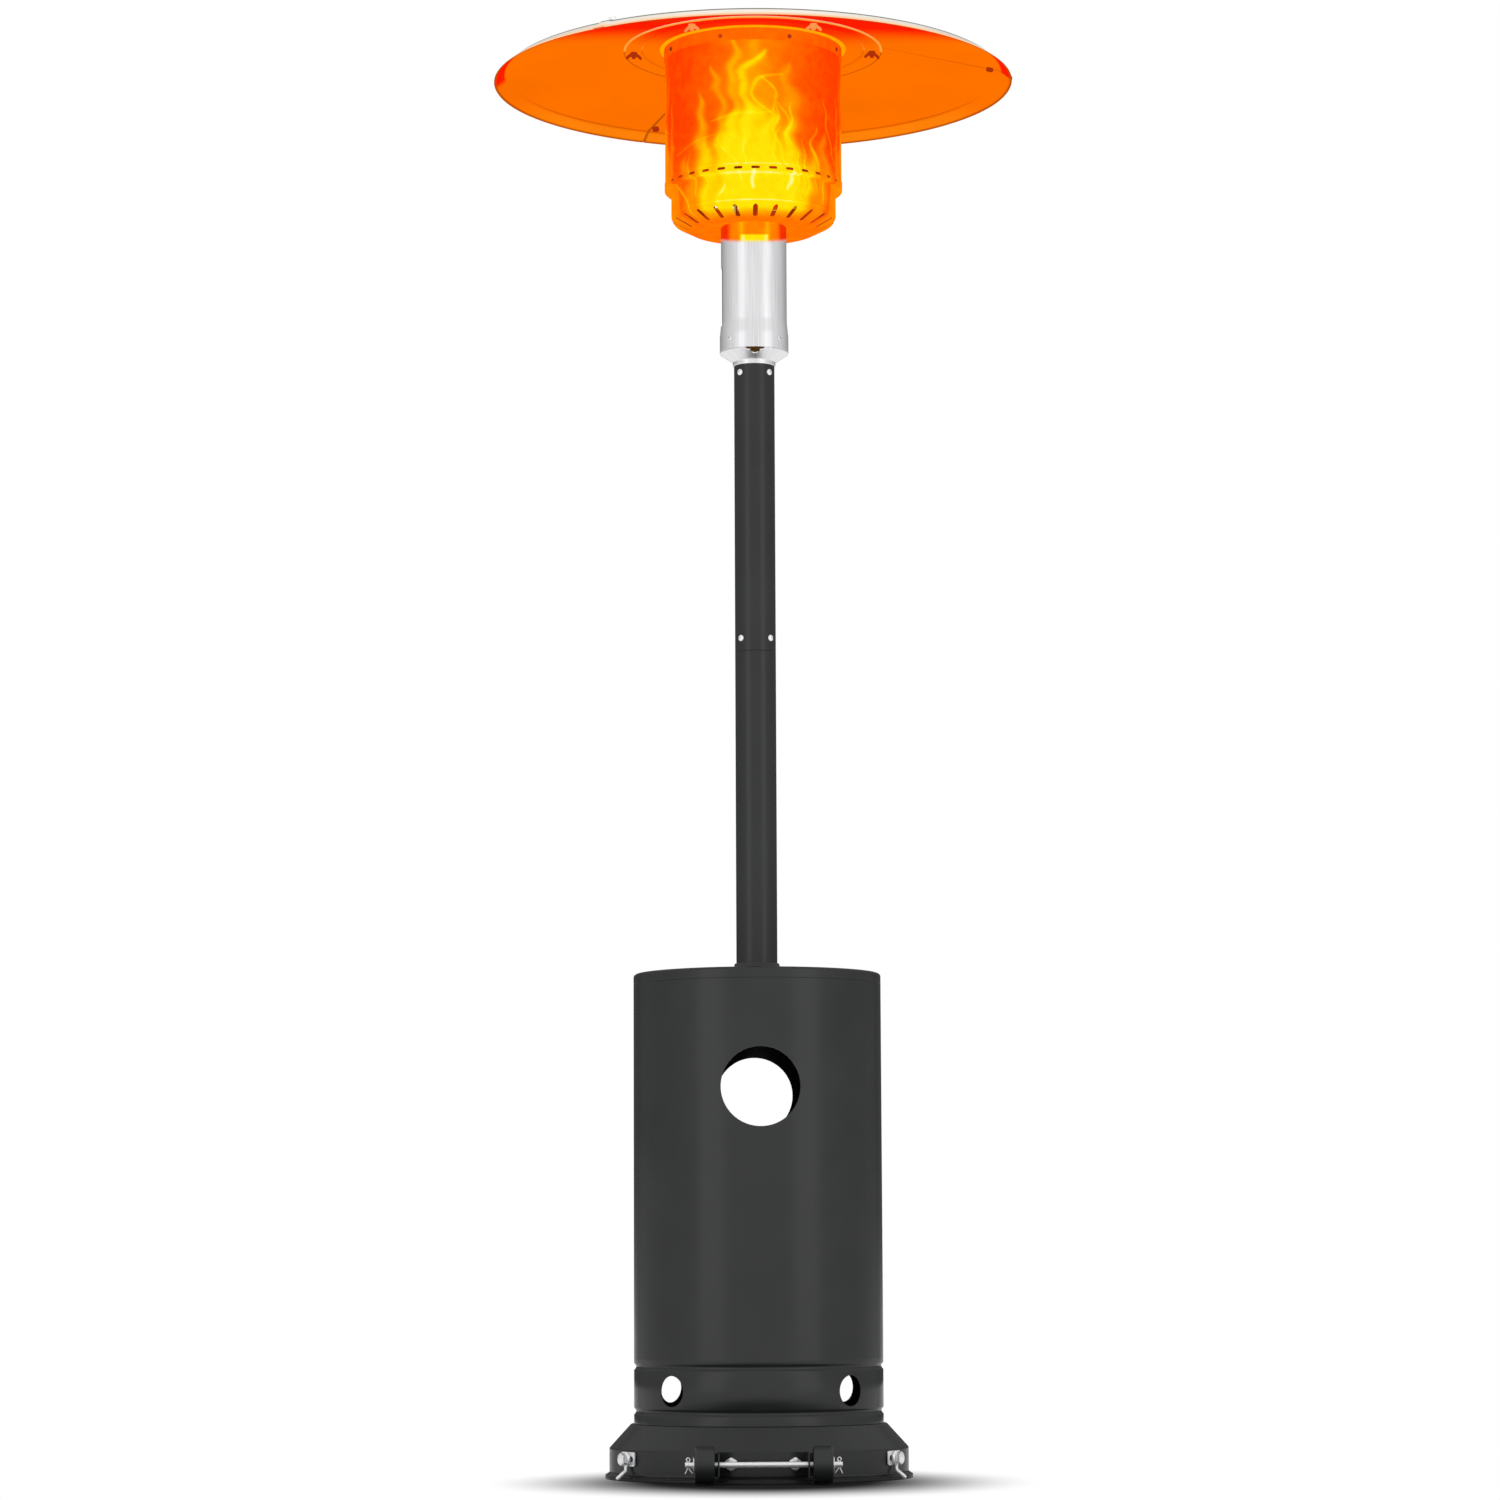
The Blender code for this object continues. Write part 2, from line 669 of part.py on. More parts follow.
def fasten(carrier, others, radius, height, sizes, depth, places):
    """Screws set round a tube, held by the wall that carries them, through holes in the others."""
    head, head_height, shank = sizes
    name = f"{carrier.name}_screws_{round(height / GAP)}"
    count, start = places
    spots = [radial(turn, height, radius) for turn in turns(count, start)]
    seat = GAP if others else -GAP
    mesh = screw_mesh(name, head, head_height, shank, depth, seat)
    combine(carrier, add_tool(name, group(name, mesh, spots)), "UNION")
    hole = drill(f"{name}_hole", shank, -depth - OVERRUN / 2, OVERRUN)
    holes = add_tool(f"{name}_holes", group(f"{name}_holes", hole, spots))
    for other in others:
        combine(other, holes)


def post():
    """The socket and the two pole tubes, with the screws that each of them carries."""
    socket = turned("post_socket", [
        (POLE_RADIUS + GAP + SOCKET_WALL, SOCKET_TOP),
        (POLE_RADIUS + GAP + SOCKET_WALL, SOCKET_FLOOR),
        (SOCKET_FLANGE_RADIUS, SOCKET_FLOOR),
        (SOCKET_FLANGE_RADIUS, FLANGE_UNDER),
        (POLE_RADIUS - SOCKET_LEDGE, FLANGE_UNDER),
        (POLE_RADIUS - SOCKET_LEDGE, SOCKET_FLOOR),
        (POLE_RADIUS + GAP, SOCKET_FLOOR),
        (POLE_RADIUS + GAP, SOCKET_TOP),
    ], "charcoal_coat", POLE_SIDES)
    bend = POLE_SEAM - POLE_SHEET
    lower = turned("lower_pole", [
        (SWAGE_RADIUS, POLE_SEAM + SWAGE_LENGTH),
        (SWAGE_RADIUS, POLE_SEAM),
        (POLE_RADIUS, POLE_SEAM),
        (POLE_RADIUS, POLE_FOOT),
        (POLE_RADIUS - POLE_SHEET, POLE_FOOT),
        (POLE_RADIUS - POLE_SHEET, bend),
        (SWAGE_BORE, bend),
        (SWAGE_BORE, POLE_SEAM + SWAGE_LENGTH),
    ], "charcoal_coat", POLE_SIDES)
    upper = turned("upper_pole", [
        (POLE_RADIUS, POLE_TOP),
        (POLE_RADIUS, UPPER_POLE_FOOT),
        (POLE_RADIUS - POLE_SHEET, UPPER_POLE_FOOT),
        (POLE_RADIUS - POLE_SHEET, POLE_TOP),
    ], "charcoal_coat", POLE_SIDES)
    fasten(lower, [upper], POLE_RADIUS, POLE_SEAM + JOINT_SCREW_RISE, BIG_SCREW,
           2 * POLE_SHEET + GAP + SCREW_TAIL, (4, CROSS_START))
    fasten(socket, [lower], POLE_RADIUS + GAP + SOCKET_WALL, SOCKET_TOP - SOCKET_SCREW_DROP, BIG_SCREW,
           SOCKET_WALL + GAP + POLE_SHEET + SCREW_TAIL, (2, CROSS_START))
    return socket, upper


def bead(height):
    """The outline of a groove rolled into the housing, from its top edge down."""
    steps = 2
    shares = [1 - 2 * step / steps for step in range(steps + 1)]
    return [(HOUSING_RADIUS - BEAD_DEPTH * (1 - abs(share)), height + share * BEAD_WIDTH / 2)
            for share in shares]


def housing():
    """The cylinder round the gas bottle, its lid and the bush that runs on the pole."""
    shell = turned("tank_housing", [
        (HOUSING_RADIUS, HOUSING_TOP),
        *bead(HOUSING_FOOT + HIGH_BEAD_RISE),
        *bead(HOUSING_FOOT + LOW_BEAD_RISE),
        (HOUSING_RADIUS, HOUSING_FOOT),
    ], "charcoal_coat", ring=False, wall=HOUSING_SHEET)
    reach = HOUSING_RADIUS + OVERRUN
    access = add_tool("access_hole", rod("access_hole", ACCESS_RADIUS, -reach, reach, POLE_SIDES))
    access.matrix_world = radial(NEAR, HOUSING_FOOT + ACCESS_RISE)
    combine(shell, access)
    vent = rod("vent", VENT_RADIUS, -reach, reach, TURNED_SIDES)
    for turn in (CROSS_START, CROSS_START + 90):
        tool = add_tool(f"vents_{turn}", vent)
        tool.matrix_world = radial(turn, HOUSING_FOOT + VENT_RISE)
        combine(shell, tool)
    corner = [on_circle(LID_CORNER, turn) for turn in (90, 45, 0)]
    spigot = HOUSING_RADIUS - HOUSING_SHEET - GAP
    turned("housing_lid", [
        (LID_HOLE, LID_TOP),
        *[(HOUSING_RADIUS - LID_CORNER + out, LID_TOP - LID_CORNER + up) for out, up in corner],
        (HOUSING_RADIUS, LID_FOOT),
        (spigot, LID_FOOT),
        (spigot, LID_FOOT - LID_SPIGOT),
        (spigot - HOUSING_SHEET, LID_FOOT - LID_SPIGOT),
        (spigot - HOUSING_SHEET, LID_TOP - HOUSING_SHEET),
        (LID_HOLE, LID_TOP - HOUSING_SHEET),
    ], "charcoal_coat")
    bore = POLE_RADIUS + POLE_GAP
    neck = LID_HOLE - GAP
    lid_under = LID_TOP - HOUSING_SHEET
    turned("lid_bush", [
        (bore, LID_TOP + BUSH_RISE),
        (neck, LID_TOP + BUSH_LIP),
        (LID_HOLE + BUSH_LIP, LID_TOP + BUSH_LIP),
        (LID_HOLE + BUSH_LIP, LID_TOP + GAP),
        (neck, LID_TOP + GAP),
        (neck, lid_under - GAP),
        (LID_HOLE + BUSH_LIP, lid_under - GAP),
        (LID_HOLE + BUSH_LIP, lid_under - BUSH_DROP),
        (bore, lid_under - BUSH_DROP),
    ], "black_plastic", TURNED_SIDES)


def anchors(cover):
    """Three anchor plates on the skirt, each with a hook that swings on its bolt."""
    eye = ANCHOR_PIN + RUN_GAP + HOOK_WIRE
    half_length = ANCHOR_PLATE_LENGTH / 2
    half_height = ANCHOR_PLATE_HEIGHT / 2
    loop = [(*point, 0) for point in arc(eye, SWING_LOOP_START, SWING_LOOP_END, 9)]
    drop = -ANCHOR_PIN - 2 * HOOK_WIRE - RUN_GAP
    stem = -HOOK_STEM - HOOK_WIRE / 2
    route = loop + [(0, drop, 0), (0, stem, 0), (0, -HOOK_STEM - HOOK_WIRE, HOOK_WIRE / 2),
                         (0, -HOOK_STEM - HOOK_TOE_DOWN, HOOK_TOE_OUT)]
    plate_hole = rod("plate_hole", ANCHOR_HOLE, -OVERRUN, OVERRUN)
    pin_hole = drill("pin_hole", ANCHOR_PIN, -OVERRUN, OVERRUN)
    stand = Matrix.Rotation(math.radians(90), 4, "Z")
    seats = []
    for side, turn in ANCHOR_TURNS.items():
        seat = radial(turn, ANCHOR_HEIGHT, SKIRT_RADIUS + GAP + ANCHOR_PLATE / 2) @ stand
        seats.append(radial(turn, ANCHOR_HEIGHT, SKIRT_RADIUS))
        mesh = box_mesh("anchor_plate", (-half_length, -half_height, -ANCHOR_PLATE / 2),
                        (half_length, half_height, ANCHOR_PLATE / 2))
        plate = add_part(f"anchor_plate_{side}", mesh, "zinc")
        plate.matrix_world = seat
        for offset in (-ANCHOR_HOLE_OFFSET, ANCHOR_HOLE_OFFSET):
            tool = add_tool(f"anchor_hole_{side}_{offset > 0}", plate_hole)
            tool.matrix_world = seat @ Matrix.Translation((offset, 0, 0))
            combine(plate, tool)
        tool = add_tool(f"anchor_pin_hole_{side}", pin_hole)
        tool.matrix_world = seat
        combine(plate, tool)
        hook = add_part(f"anchor_hook_{side}", wire_mesh("anchor_hook", route, HOOK_WIRE, 1), "zinc")
        hook.matrix_world = radial(turn, ANCHOR_HEIGHT, HOOK_OUT) @ stand
    nut_face = inside_flat(SKIRT_RADIUS - COVER_SHEET, BOLT_HEAD)
    bolt = bolt_mesh("anchor_bolt", BOLT_HEAD, BOLT_HEAD_HEIGHT, ANCHOR_PIN,
                     HOOK_OUT + HOOK_WIRE - nut_face)
    for side, turn in ANCHOR_TURNS.items():
        place = radial(turn, ANCHOR_HEIGHT, HOOK_OUT + HOOK_WIRE)
        add_part(f"anchor_bolt_{side}", bolt, "zinc").matrix_world = place
    combine(cover, add_tool("anchor_skirt_holes", group("anchor_skirt_holes", pin_hole, seats)))


def arc(radius, first, last, steps):
    """Points along an arc about the origin, between two azimuths."""
    return [on_circle(radius, first + (last - first) * step / steps) for step in range(steps + 1)]


def wheel_bracket(cover):
    """A channel bolted to the skirt, whose two ears hold the axle."""
    outside = BRACKET_SEAT + BRACKET_SHEET
    ear_in = BRACKET_HALF_WIDTH - BRACKET_SHEET
    back = math.degrees(math.asin(BRACKET_HALF_WIDTH / BRACKET_SEAT))
    front = math.degrees(math.asin(ear_in / outside))
    outline = [
        *arc(BRACKET_SEAT, NEAR - back, NEAR + back, 10),
        (BRACKET_HALF_WIDTH, -BRACKET_REACH),
        (ear_in, -BRACKET_REACH),
        *arc(outside, NEAR + front, NEAR - front, 10),
        (-ear_in, -BRACKET_REACH),
        (-BRACKET_HALF_WIDTH, -BRACKET_REACH),
    ]
    bracket = add_part("wheel_bracket", plate_mesh("bracket", outline, BRACKET_HEIGHT), "charcoal_coat")
    bracket.location.z = AXLE_HEIGHT
    reach = BRACKET_HALF_WIDTH + OVERRUN
    axle_hole = add_tool("axle_hole", drill("axle_hole", AXLE_RADIUS, -reach, reach))
    axle_hole.matrix_world = Matrix.Translation((0, -AXLE_OUT, AXLE_HEIGHT)) @ radial(0, 0)
    combine(bracket, axle_hole)
    swing = math.degrees(math.asin(BRACKET_BOLT_OFFSET / outside))
    places = [radial(NEAR + turn, AXLE_HEIGHT, outside) for turn in (-swing, swing)]
    grip = outside - inside_flat(SKIRT_RADIUS - COVER_SHEET, BOLT_HEAD)
    bolt = bolt_mesh("bracket_bolt", BOLT_HEAD, BOLT_HEAD_HEIGHT, BOLT_SHANK, grip)
    for side, place in zip(("left", "right"), places):
        add_part(f"bracket_bolt_{side}", bolt, "zinc").matrix_world = place
    hole = drill("bracket_hole", BOLT_SHANK, -grip - OVERRUN, OVERRUN)
    holes = add_tool("bracket_holes", group("bracket_holes", hole, places))
    combine(bracket, holes)
    combine(cover, holes)


def wheels():
    """The axle, its wheels, washers and split pins."""
    centre = Matrix.Translation((0, -AXLE_OUT, AXLE_HEIGHT))
    lie = radial(0, 0)
    axle = add_part("axle", rod("axle", AXLE_RADIUS, -AXLE_HALF_LENGTH, AXLE_HALF_LENGTH), "zinc")
    axle.matrix_world = centre @ lie
    bore = AXLE_RADIUS + RUN_GAP
    half = WHEEL_WIDTH / 2
    web = half - WHEEL_RECESS
    rim = WHEEL_RADIUS - WHEEL_RIM
    outline = [
        (WHEEL_RADIUS, half - WHEEL_SHOULDER), (WHEEL_RADIUS, WHEEL_SHOULDER - half),
        (WHEEL_RADIUS - WHEEL_SHOULDER / 2, -half), (rim, -half), (rim, -web), (WHEEL_HUB, -web),
        (WHEEL_HUB, -half), (bore, -half), (bore, half), (WHEEL_HUB, half), (WHEEL_HUB, web),
        (rim, web), (rim, half), (WHEEL_RADIUS - WHEEL_SHOULDER / 2, half),
    ]
    washer_bore = around(bore, SMALL_SIDES)
    washer = lathe("washer", [(washer_bore, 0), (WASHER_RADIUS, 0), (WASHER_RADIUS, WASHER_SHEET),
                              (washer_bore, WASHER_SHEET)], SMALL_SIDES, ring=True)
    leg = COTTER_WIRE + GAP / 2
    eye_height = AXLE_RADIUS + COTTER_EYE + COTTER_WIRE
    eye = [(out, up + eye_height) for out, up in arc(COTTER_EYE, 240, -60, 6)]
    pin = wire_mesh("cotter", [
        (-COTTER_REACH / 2, 0, -COTTER_REACH), (-leg, 0, -AXLE_RADIUS - COTTER_WIRE),
        (-leg, 0, AXLE_RADIUS), *[(out, 0, up) for out, up in eye], (leg, 0, AXLE_RADIUS),
        (leg, 0, -AXLE_RADIUS - COTTER_WIRE), (COTTER_REACH / 3, 0, -COTTER_REACH)], COTTER_WIRE, 1)
    slot = box_mesh("cotter_slot", (-leg - COTTER_WIRE - GAP, -COTTER_WIRE - GAP, -OVERRUN),
                    (leg + COTTER_WIRE + GAP, COTTER_WIRE + GAP, OVERRUN))
    wheel_mesh = lathe("wheel", outline, TURNED_SIDES, ring=True)
    slots = []
    for side, sign in (("left", -1), ("right", 1)):
        place = centre @ Matrix.Rotation(math.radians(90 - 90 * sign), 4, "Z")
        wheel = add_part(f"wheel_{side}", wheel_mesh, "black_plastic")
        wheel.matrix_world = place @ Matrix.Translation((WHEEL_OFFSET, 0, 0)) @ lie
        ring = add_part(f"axle_washer_{side}", washer, "zinc")
        ring.matrix_world = place @ Matrix.Translation((WHEEL_OFFSET + half + GAP, 0, 0)) @ lie
        slots.append(place @ Matrix.Translation((COTTER_OFFSET, 0, 0)))
        add_part(f"cotter_pin_{side}", pin, "zinc").matrix_world = slots[-1]
    combine(axle, add_tool("cotter_slots", group("cotter_slots", slot, slots)))


def neck(upper):
    """The cup on the pole, the bright tube, its window and the panel behind it."""
    cup = turned("neck_cup", [
        (CUP_WALL_RADIUS, CUP_RIM + CUP_WALL),
        (CUP_WALL_RADIUS, CUP_RIM + CUP_SHEET),
        (CUP_RADIUS, CUP_RIM + CUP_SHEET),
        (CUP_RADIUS, CUP_RIM),
        (CUP_SHOULDER_RADIUS, CUP_CONE_FOOT),
        (CUP_SHOULDER_RADIUS, CUP_SEAT),
        (SWAGE_RADIUS, CUP_SEAT),
        (SWAGE_RADIUS, CUP_SEAT - CUP_SPIGOT),
        (SWAGE_BORE, CUP_SEAT - CUP_SPIGOT),
        (SWAGE_BORE, CUP_CONE_FOOT + CUP_SHEET),
        (CUP_WALL_RADIUS - CUP_SHEET, CUP_RIM + 2 * CUP_SHEET),
        (CUP_WALL_RADIUS - CUP_SHEET, CUP_RIM + CUP_WALL),
    ], "bright_steel", POLE_SIDES)
    fasten(cup, [upper], POLE_RADIUS, POLE_TOP - TOP_SCREW_DROP, BIG_SCREW,
           2 * POLE_SHEET + GAP + SCREW_TAIL, (4, CROSS_START))
    low, high = CUP_CONE_FOOT + CUP_SHEET, CUP_RIM + CUP_SHEET + GAP
    mouth = box_mesh("mouth", (-CUP_RADIUS, -CUP_RADIUS - OVERRUN, low),
                     (CUP_RADIUS, NOTCH_DEPTH - CUP_RADIUS, high))
    combine(cup, add_tool("cup_mouth", mouth))
    notch = rod("notch", NOTCH_RADIUS, CUP_CONE_FOOT, high)
    notch.transform(Matrix.Translation((0, NOTCH_REACH - NOTCH_RADIUS - CUP_RADIUS, 0)))
    combine(cup, add_tool("hose_notch", notch))
    flare = NECK_FOOT + NECK_FLARE_RISE
    tube = turned("neck_tube", [
        (NECK_RADIUS, NECK_TOP),
        (NECK_RADIUS, flare + NECK_FLARE_BEND),
        (CUP_RADIUS, flare),
        (CUP_RADIUS, NECK_FOOT),
        (CUP_RADIUS - NECK_SHEET, NECK_FOOT),
        (CUP_RADIUS - NECK_SHEET, flare),
        (NECK_RADIUS - NECK_SHEET, flare + NECK_FLARE_BEND),
        (NECK_RADIUS - NECK_SHEET, NECK_TOP),
    ], "bright_steel", POLE_SIDES)
    facing = Matrix.Rotation(math.radians(PANEL_TURN), 4, "Z")
    side = NECK_RADIUS + OVERRUN
    opening = box_mesh("window", (-WINDOW_BEHIND, -side, WINDOW_FOOT),
                       (side, side, WINDOW_FOOT + WINDOW_HEIGHT))
    opening.transform(facing)
    combine(tube, add_tool("control_window", opening))
    panel = add_part("control_panel", outline_mesh("panel", [
        (PANEL_RADIUS, WINDOW_FOOT + WINDOW_HEIGHT + PANEL_LAP),
        (PANEL_RADIUS, WINDOW_FOOT - PANEL_LAP),
    ], False), "black_plastic")
    panel.rotation_euler.z = math.radians(PANEL_TURN - PANEL_HALF_SPAN)
    sweep = panel.modifiers.new("turn", "SCREW")
    sweep.angle = math.radians(2 * PANEL_HALF_SPAN)
    sweep.steps = 2 * PANEL_HALF_SPAN * POLE_SIDES // 360
    sweep.render_steps = sweep.steps
    sweep.use_merge_vertices = True
    sweep.merge_threshold = WELD
    shell = panel.modifiers.new("wall", "SOLIDIFY")
    shell.thickness = PANEL_SHEET
    shell.offset = -1
    hole = add_tool("panel_hole", drill("panel_hole", VALVE_THREAD, -OVERRUN, OVERRUN))
    hole.matrix_world = radial(PANEL_TURN, VALVE_HEIGHT, PANEL_RADIUS)
    combine(panel, hole)


def gas_control():
    """The valve behind the panel, its nut, stem and knob, the hose inlet and the tilt switch."""
    boss_front = inside_flat(PANEL_RADIUS - PANEL_SHEET, VALVE_BOSS, POLE_SIDES)
    thread_end = PANEL_RADIUS + VALVE_THREAD_OUT
    stem_end = boss_front - STEM_IN_VALVE + KNOB_TRAVEL
    bore = STEM_RADIUS + RUN_GAP
    bore_floor = stem_end - KNOB_TRAVEL - RUN_GAP
    valve = add_part("gas_valve", lathe("gas_valve", [
        (0, bore_floor), (bore, bore_floor), (bore, thread_end), (VALVE_THREAD, thread_end),
        (VALVE_THREAD, boss_front), (VALVE_BOSS, boss_front), (VALVE_BOSS, VALVE_BODY_FRONT),
        (VALVE_BODY, VALVE_BODY_FRONT), (VALVE_BODY, VALVE_REAR), (0, VALVE_REAR),
    ], VALVE_SIDES), "brass")
    outward = radial(PANEL_TURN, VALVE_HEIGHT)
    valve.matrix_world = outward
    ports = rod("ports", VALVE_PORT, -VALVE_PORT_REACH, VALVE_PORT_REACH)
    ports.transform(upright(PANEL_TURN, VALVE_HEIGHT, VALVE_PORT_OFFSET))
    combine(valve, add_tool("valve_ports", ports), "UNION")
    nut_seat = PANEL_RADIUS + GAP
    nut_bore = around(VALVE_THREAD + GAP, HEX)
    nut = lathe("valve_nut", [
        (nut_bore, nut_seat), (VALVE_NUT, nut_seat), (VALVE_NUT, nut_seat + VALVE_NUT_HEIGHT),
        (nut_bore, nut_seat + VALVE_NUT_HEIGHT)], HEX, ring=True)
    add_part("valve_nut", nut, "zinc").matrix_world = outward
    back = PANEL_RADIUS + KNOB_STANDOFF + KNOB_TRAVEL
    recess_floor = back + KNOB_RECESS
    socket_floor = recess_floor + KNOB_SOCKET
    front = back + KNOB_DEPTH
    stem = rod("valve_stem", STEM_RADIUS, stem_end, socket_floor - GAP)
    add_part("valve_stem", stem, "zinc").matrix_world = outward
    knob = add_part("control_knob", lathe("control_knob", [
        (0, front), (KNOB_RADIUS - 2 * KNOB_CORNER, front), (KNOB_RADIUS - KNOB_CORNER,
                                                           front - KNOB_CORNER),
        (KNOB_RADIUS, back), (KNOB_RECESS_RADIUS, back), (KNOB_RECESS_RADIUS, recess_floor),
        (bore, recess_floor), (bore, socket_floor), (0, socket_floor),
    ], TURNED_SIDES), "black_plastic")
    knob.matrix_world = outward
    grip_reach = KNOB_RADIUS - KNOB_CORNER
    grip = box_mesh("knob_grip", (-grip_reach, -KNOB_GRIP_WIDTH / 2, front - KNOB_CORNER),
                    (grip_reach, KNOB_GRIP_WIDTH / 2, front + KNOB_GRIP_RISE))
    grip.transform(outward)
    combine(knob, add_tool("knob_grip", grip), "UNION")
    inlet_top = VALVE_HEIGHT - VALVE_PORT_REACH - GAP
    inlet = lathe("inlet_fitting", [
        (0, inlet_top), (INLET_NUT, inlet_top), (INLET_NUT, inlet_top - INLET_NUT_HEIGHT),
        (INLET_NIPPLE, inlet_top - INLET_NUT_HEIGHT), (INLET_NIPPLE, inlet_top - INLET_LENGTH),
        (0, inlet_top - INLET_LENGTH)], SMALL_SIDES)
    inlet.transform(upright(PANEL_TURN, 0, VALVE_PORT_OFFSET))
    add_part("inlet_fitting", inlet, "brass")
    behind = VALVE_REAR - GAP
    switch = box_mesh("tip_over_switch", (behind - SWITCH_DEPTH, -SWITCH_WIDTH / 2, -SWITCH_HEIGHT / 2),
                      (behind, SWITCH_WIDTH / 2, SWITCH_HEIGHT / 2))
    switch.transform(upright(PANEL_TURN, VALVE_HEIGHT, 0))
    add_part("tip_over_switch", switch, "black_plastic")


def gas_line():
    """The pipe from the valve to the jet under the mixing tube."""
    foot = VALVE_HEIGHT + VALVE_PORT_REACH + GAP
    nozzle_foot = BOWL_UNDER - NOZZLE_DROP
    top = nozzle_foot - GAP
    start = Vector((*on_circle(VALVE_PORT_OFFSET, PANEL_TURN), foot))
    end = Vector((0, 0, top))
    rise = Vector((0, 0, RISER_STRAIGHT))
    route = rounded([start, start + rise, end - rise, end], RISER_RADIUS)
    add_part("gas_riser", wire_mesh("gas_riser", route, RISER_RADIUS), "brass")
    tip = nozzle_foot + NOZZLE_LENGTH
    nozzle = lathe("gas_nozzle", [
        (0, tip), (RISER_RADIUS, tip), (NOZZLE_RADIUS, tip - NOZZLE_TIP),
        (NOZZLE_RADIUS, nozzle_foot), (0, nozzle_foot)], HEX)
    add_part("gas_nozzle", nozzle, "brass")


def slot_mesh(name, length, width, depth):
    """A slot with round ends, centred on the origin, its length along X."""
    straight = (length - width) / 2
    right = [(straight + out, up) for out, up in arc(width / 2, -90, 90, 2)]
    left = [(out - straight, up) for out, up in arc(width / 2, 90, 270, 2)]
    return plate_mesh(name, right + left, depth)


def burner():
    """The slotted bowl on the neck, the mixing tube, the burner head and the pilot."""
    flat = NECK_RADIUS + BOWL_FLAT_LAP
    half_facet = 360 / BOWL_SIDES / 2
    bowl = turned("burner_bowl", [
        (BOWL_RADIUS, BOWL_TOP),
        (BOWL_RADIUS, BOWL_UNDER + BOWL_TURN_RISE),
        (BOWL_CORNER_RADIUS, BOWL_UNDER + BOWL_CORNER_RISE),
        (BOWL_LOW_RADIUS, BOWL_UNDER - BOWL_LOW_DROP),
        (flat, BOWL_UNDER),
        (BOWL_HOLE, BOWL_UNDER),
    ], "bright_steel", BOWL_SIDES, ring=False, wall=BOWL_SHEET, start=half_facet)
    middle = (BOWL_SLOT_INNER + BOWL_SLOT_OUTER) / 2
    slot = slot_mesh("bowl_slot", BOWL_SLOT_OUTER - BOWL_SLOT_INNER, BOWL_SLOT_WIDTH, 2 * OVERRUN)
    places = [upright(turn, BOWL_UNDER, middle) for turn in turns(BOWL_SLOTS, NEAR)]
    combine(bowl, add_tool("bowl_slots", group("bowl_slots", slot, places)))
    seat = BOWL_FLOOR + GAP
    mixer_top = BOWL_FLOOR + MIXER_RISE
    turned("mixing_tube", [
        (MIXER_RADIUS, mixer_top), (MIXER_RADIUS, seat + MIXER_WALL), (MIXER_FLANGE, seat + MIXER_WALL),
        (MIXER_FLANGE, seat), (MIXER_RADIUS, seat), (MIXER_RADIUS, BOWL_UNDER - MIXER_DROP),
        (MIXER_RADIUS - MIXER_WALL, BOWL_UNDER - MIXER_DROP), (MIXER_RADIUS - MIXER_WALL, mixer_top),
    ], "bright_steel", TURNED_SIDES)
    under = mixer_top + GAP
    crown_share = ((0, 1), (0.6, 0.92), (0.94, 0.6), (1, 0.25), (0.96, 0), (0, 0))
    turned("burner_head", [(HEAD_RADIUS * out, under + HEAD_HEIGHT * up) for out, up in crown_share],
           "bright_steel", TURNED_SIDES, ring=False)
    top = seat + PILOT_LENGTH
    pilot = rod("pilot_burner", PILOT_RADIUS, seat, top)
    pilot.transform(upright(PANEL_TURN, 0, PILOT_OFFSET))
    add_part("pilot_burner", pilot, "brass")
    sensor = rod("thermocouple", THERMOCOUPLE_RADIUS, seat, top)
    sensor.transform(upright(PANEL_TURN + PILOT_STEP, 0, PILOT_OFFSET))
    add_part("thermocouple", sensor, "brass")
    spark = lathe("spark_electrode", [
        (0, top), (ELECTRODE_TIP, top), (ELECTRODE_TIP, top - ELECTRODE_TIP_LENGTH),
        (ELECTRODE_RADIUS, top - ELECTRODE_TIP_LENGTH), (ELECTRODE_RADIUS, seat), (0, seat)],
        SMALL_SIDES)
    spark.transform(upright(PANEL_TURN - PILOT_STEP, 0, PILOT_OFFSET))
    add_part("spark_electrode", spark, "ceramic")


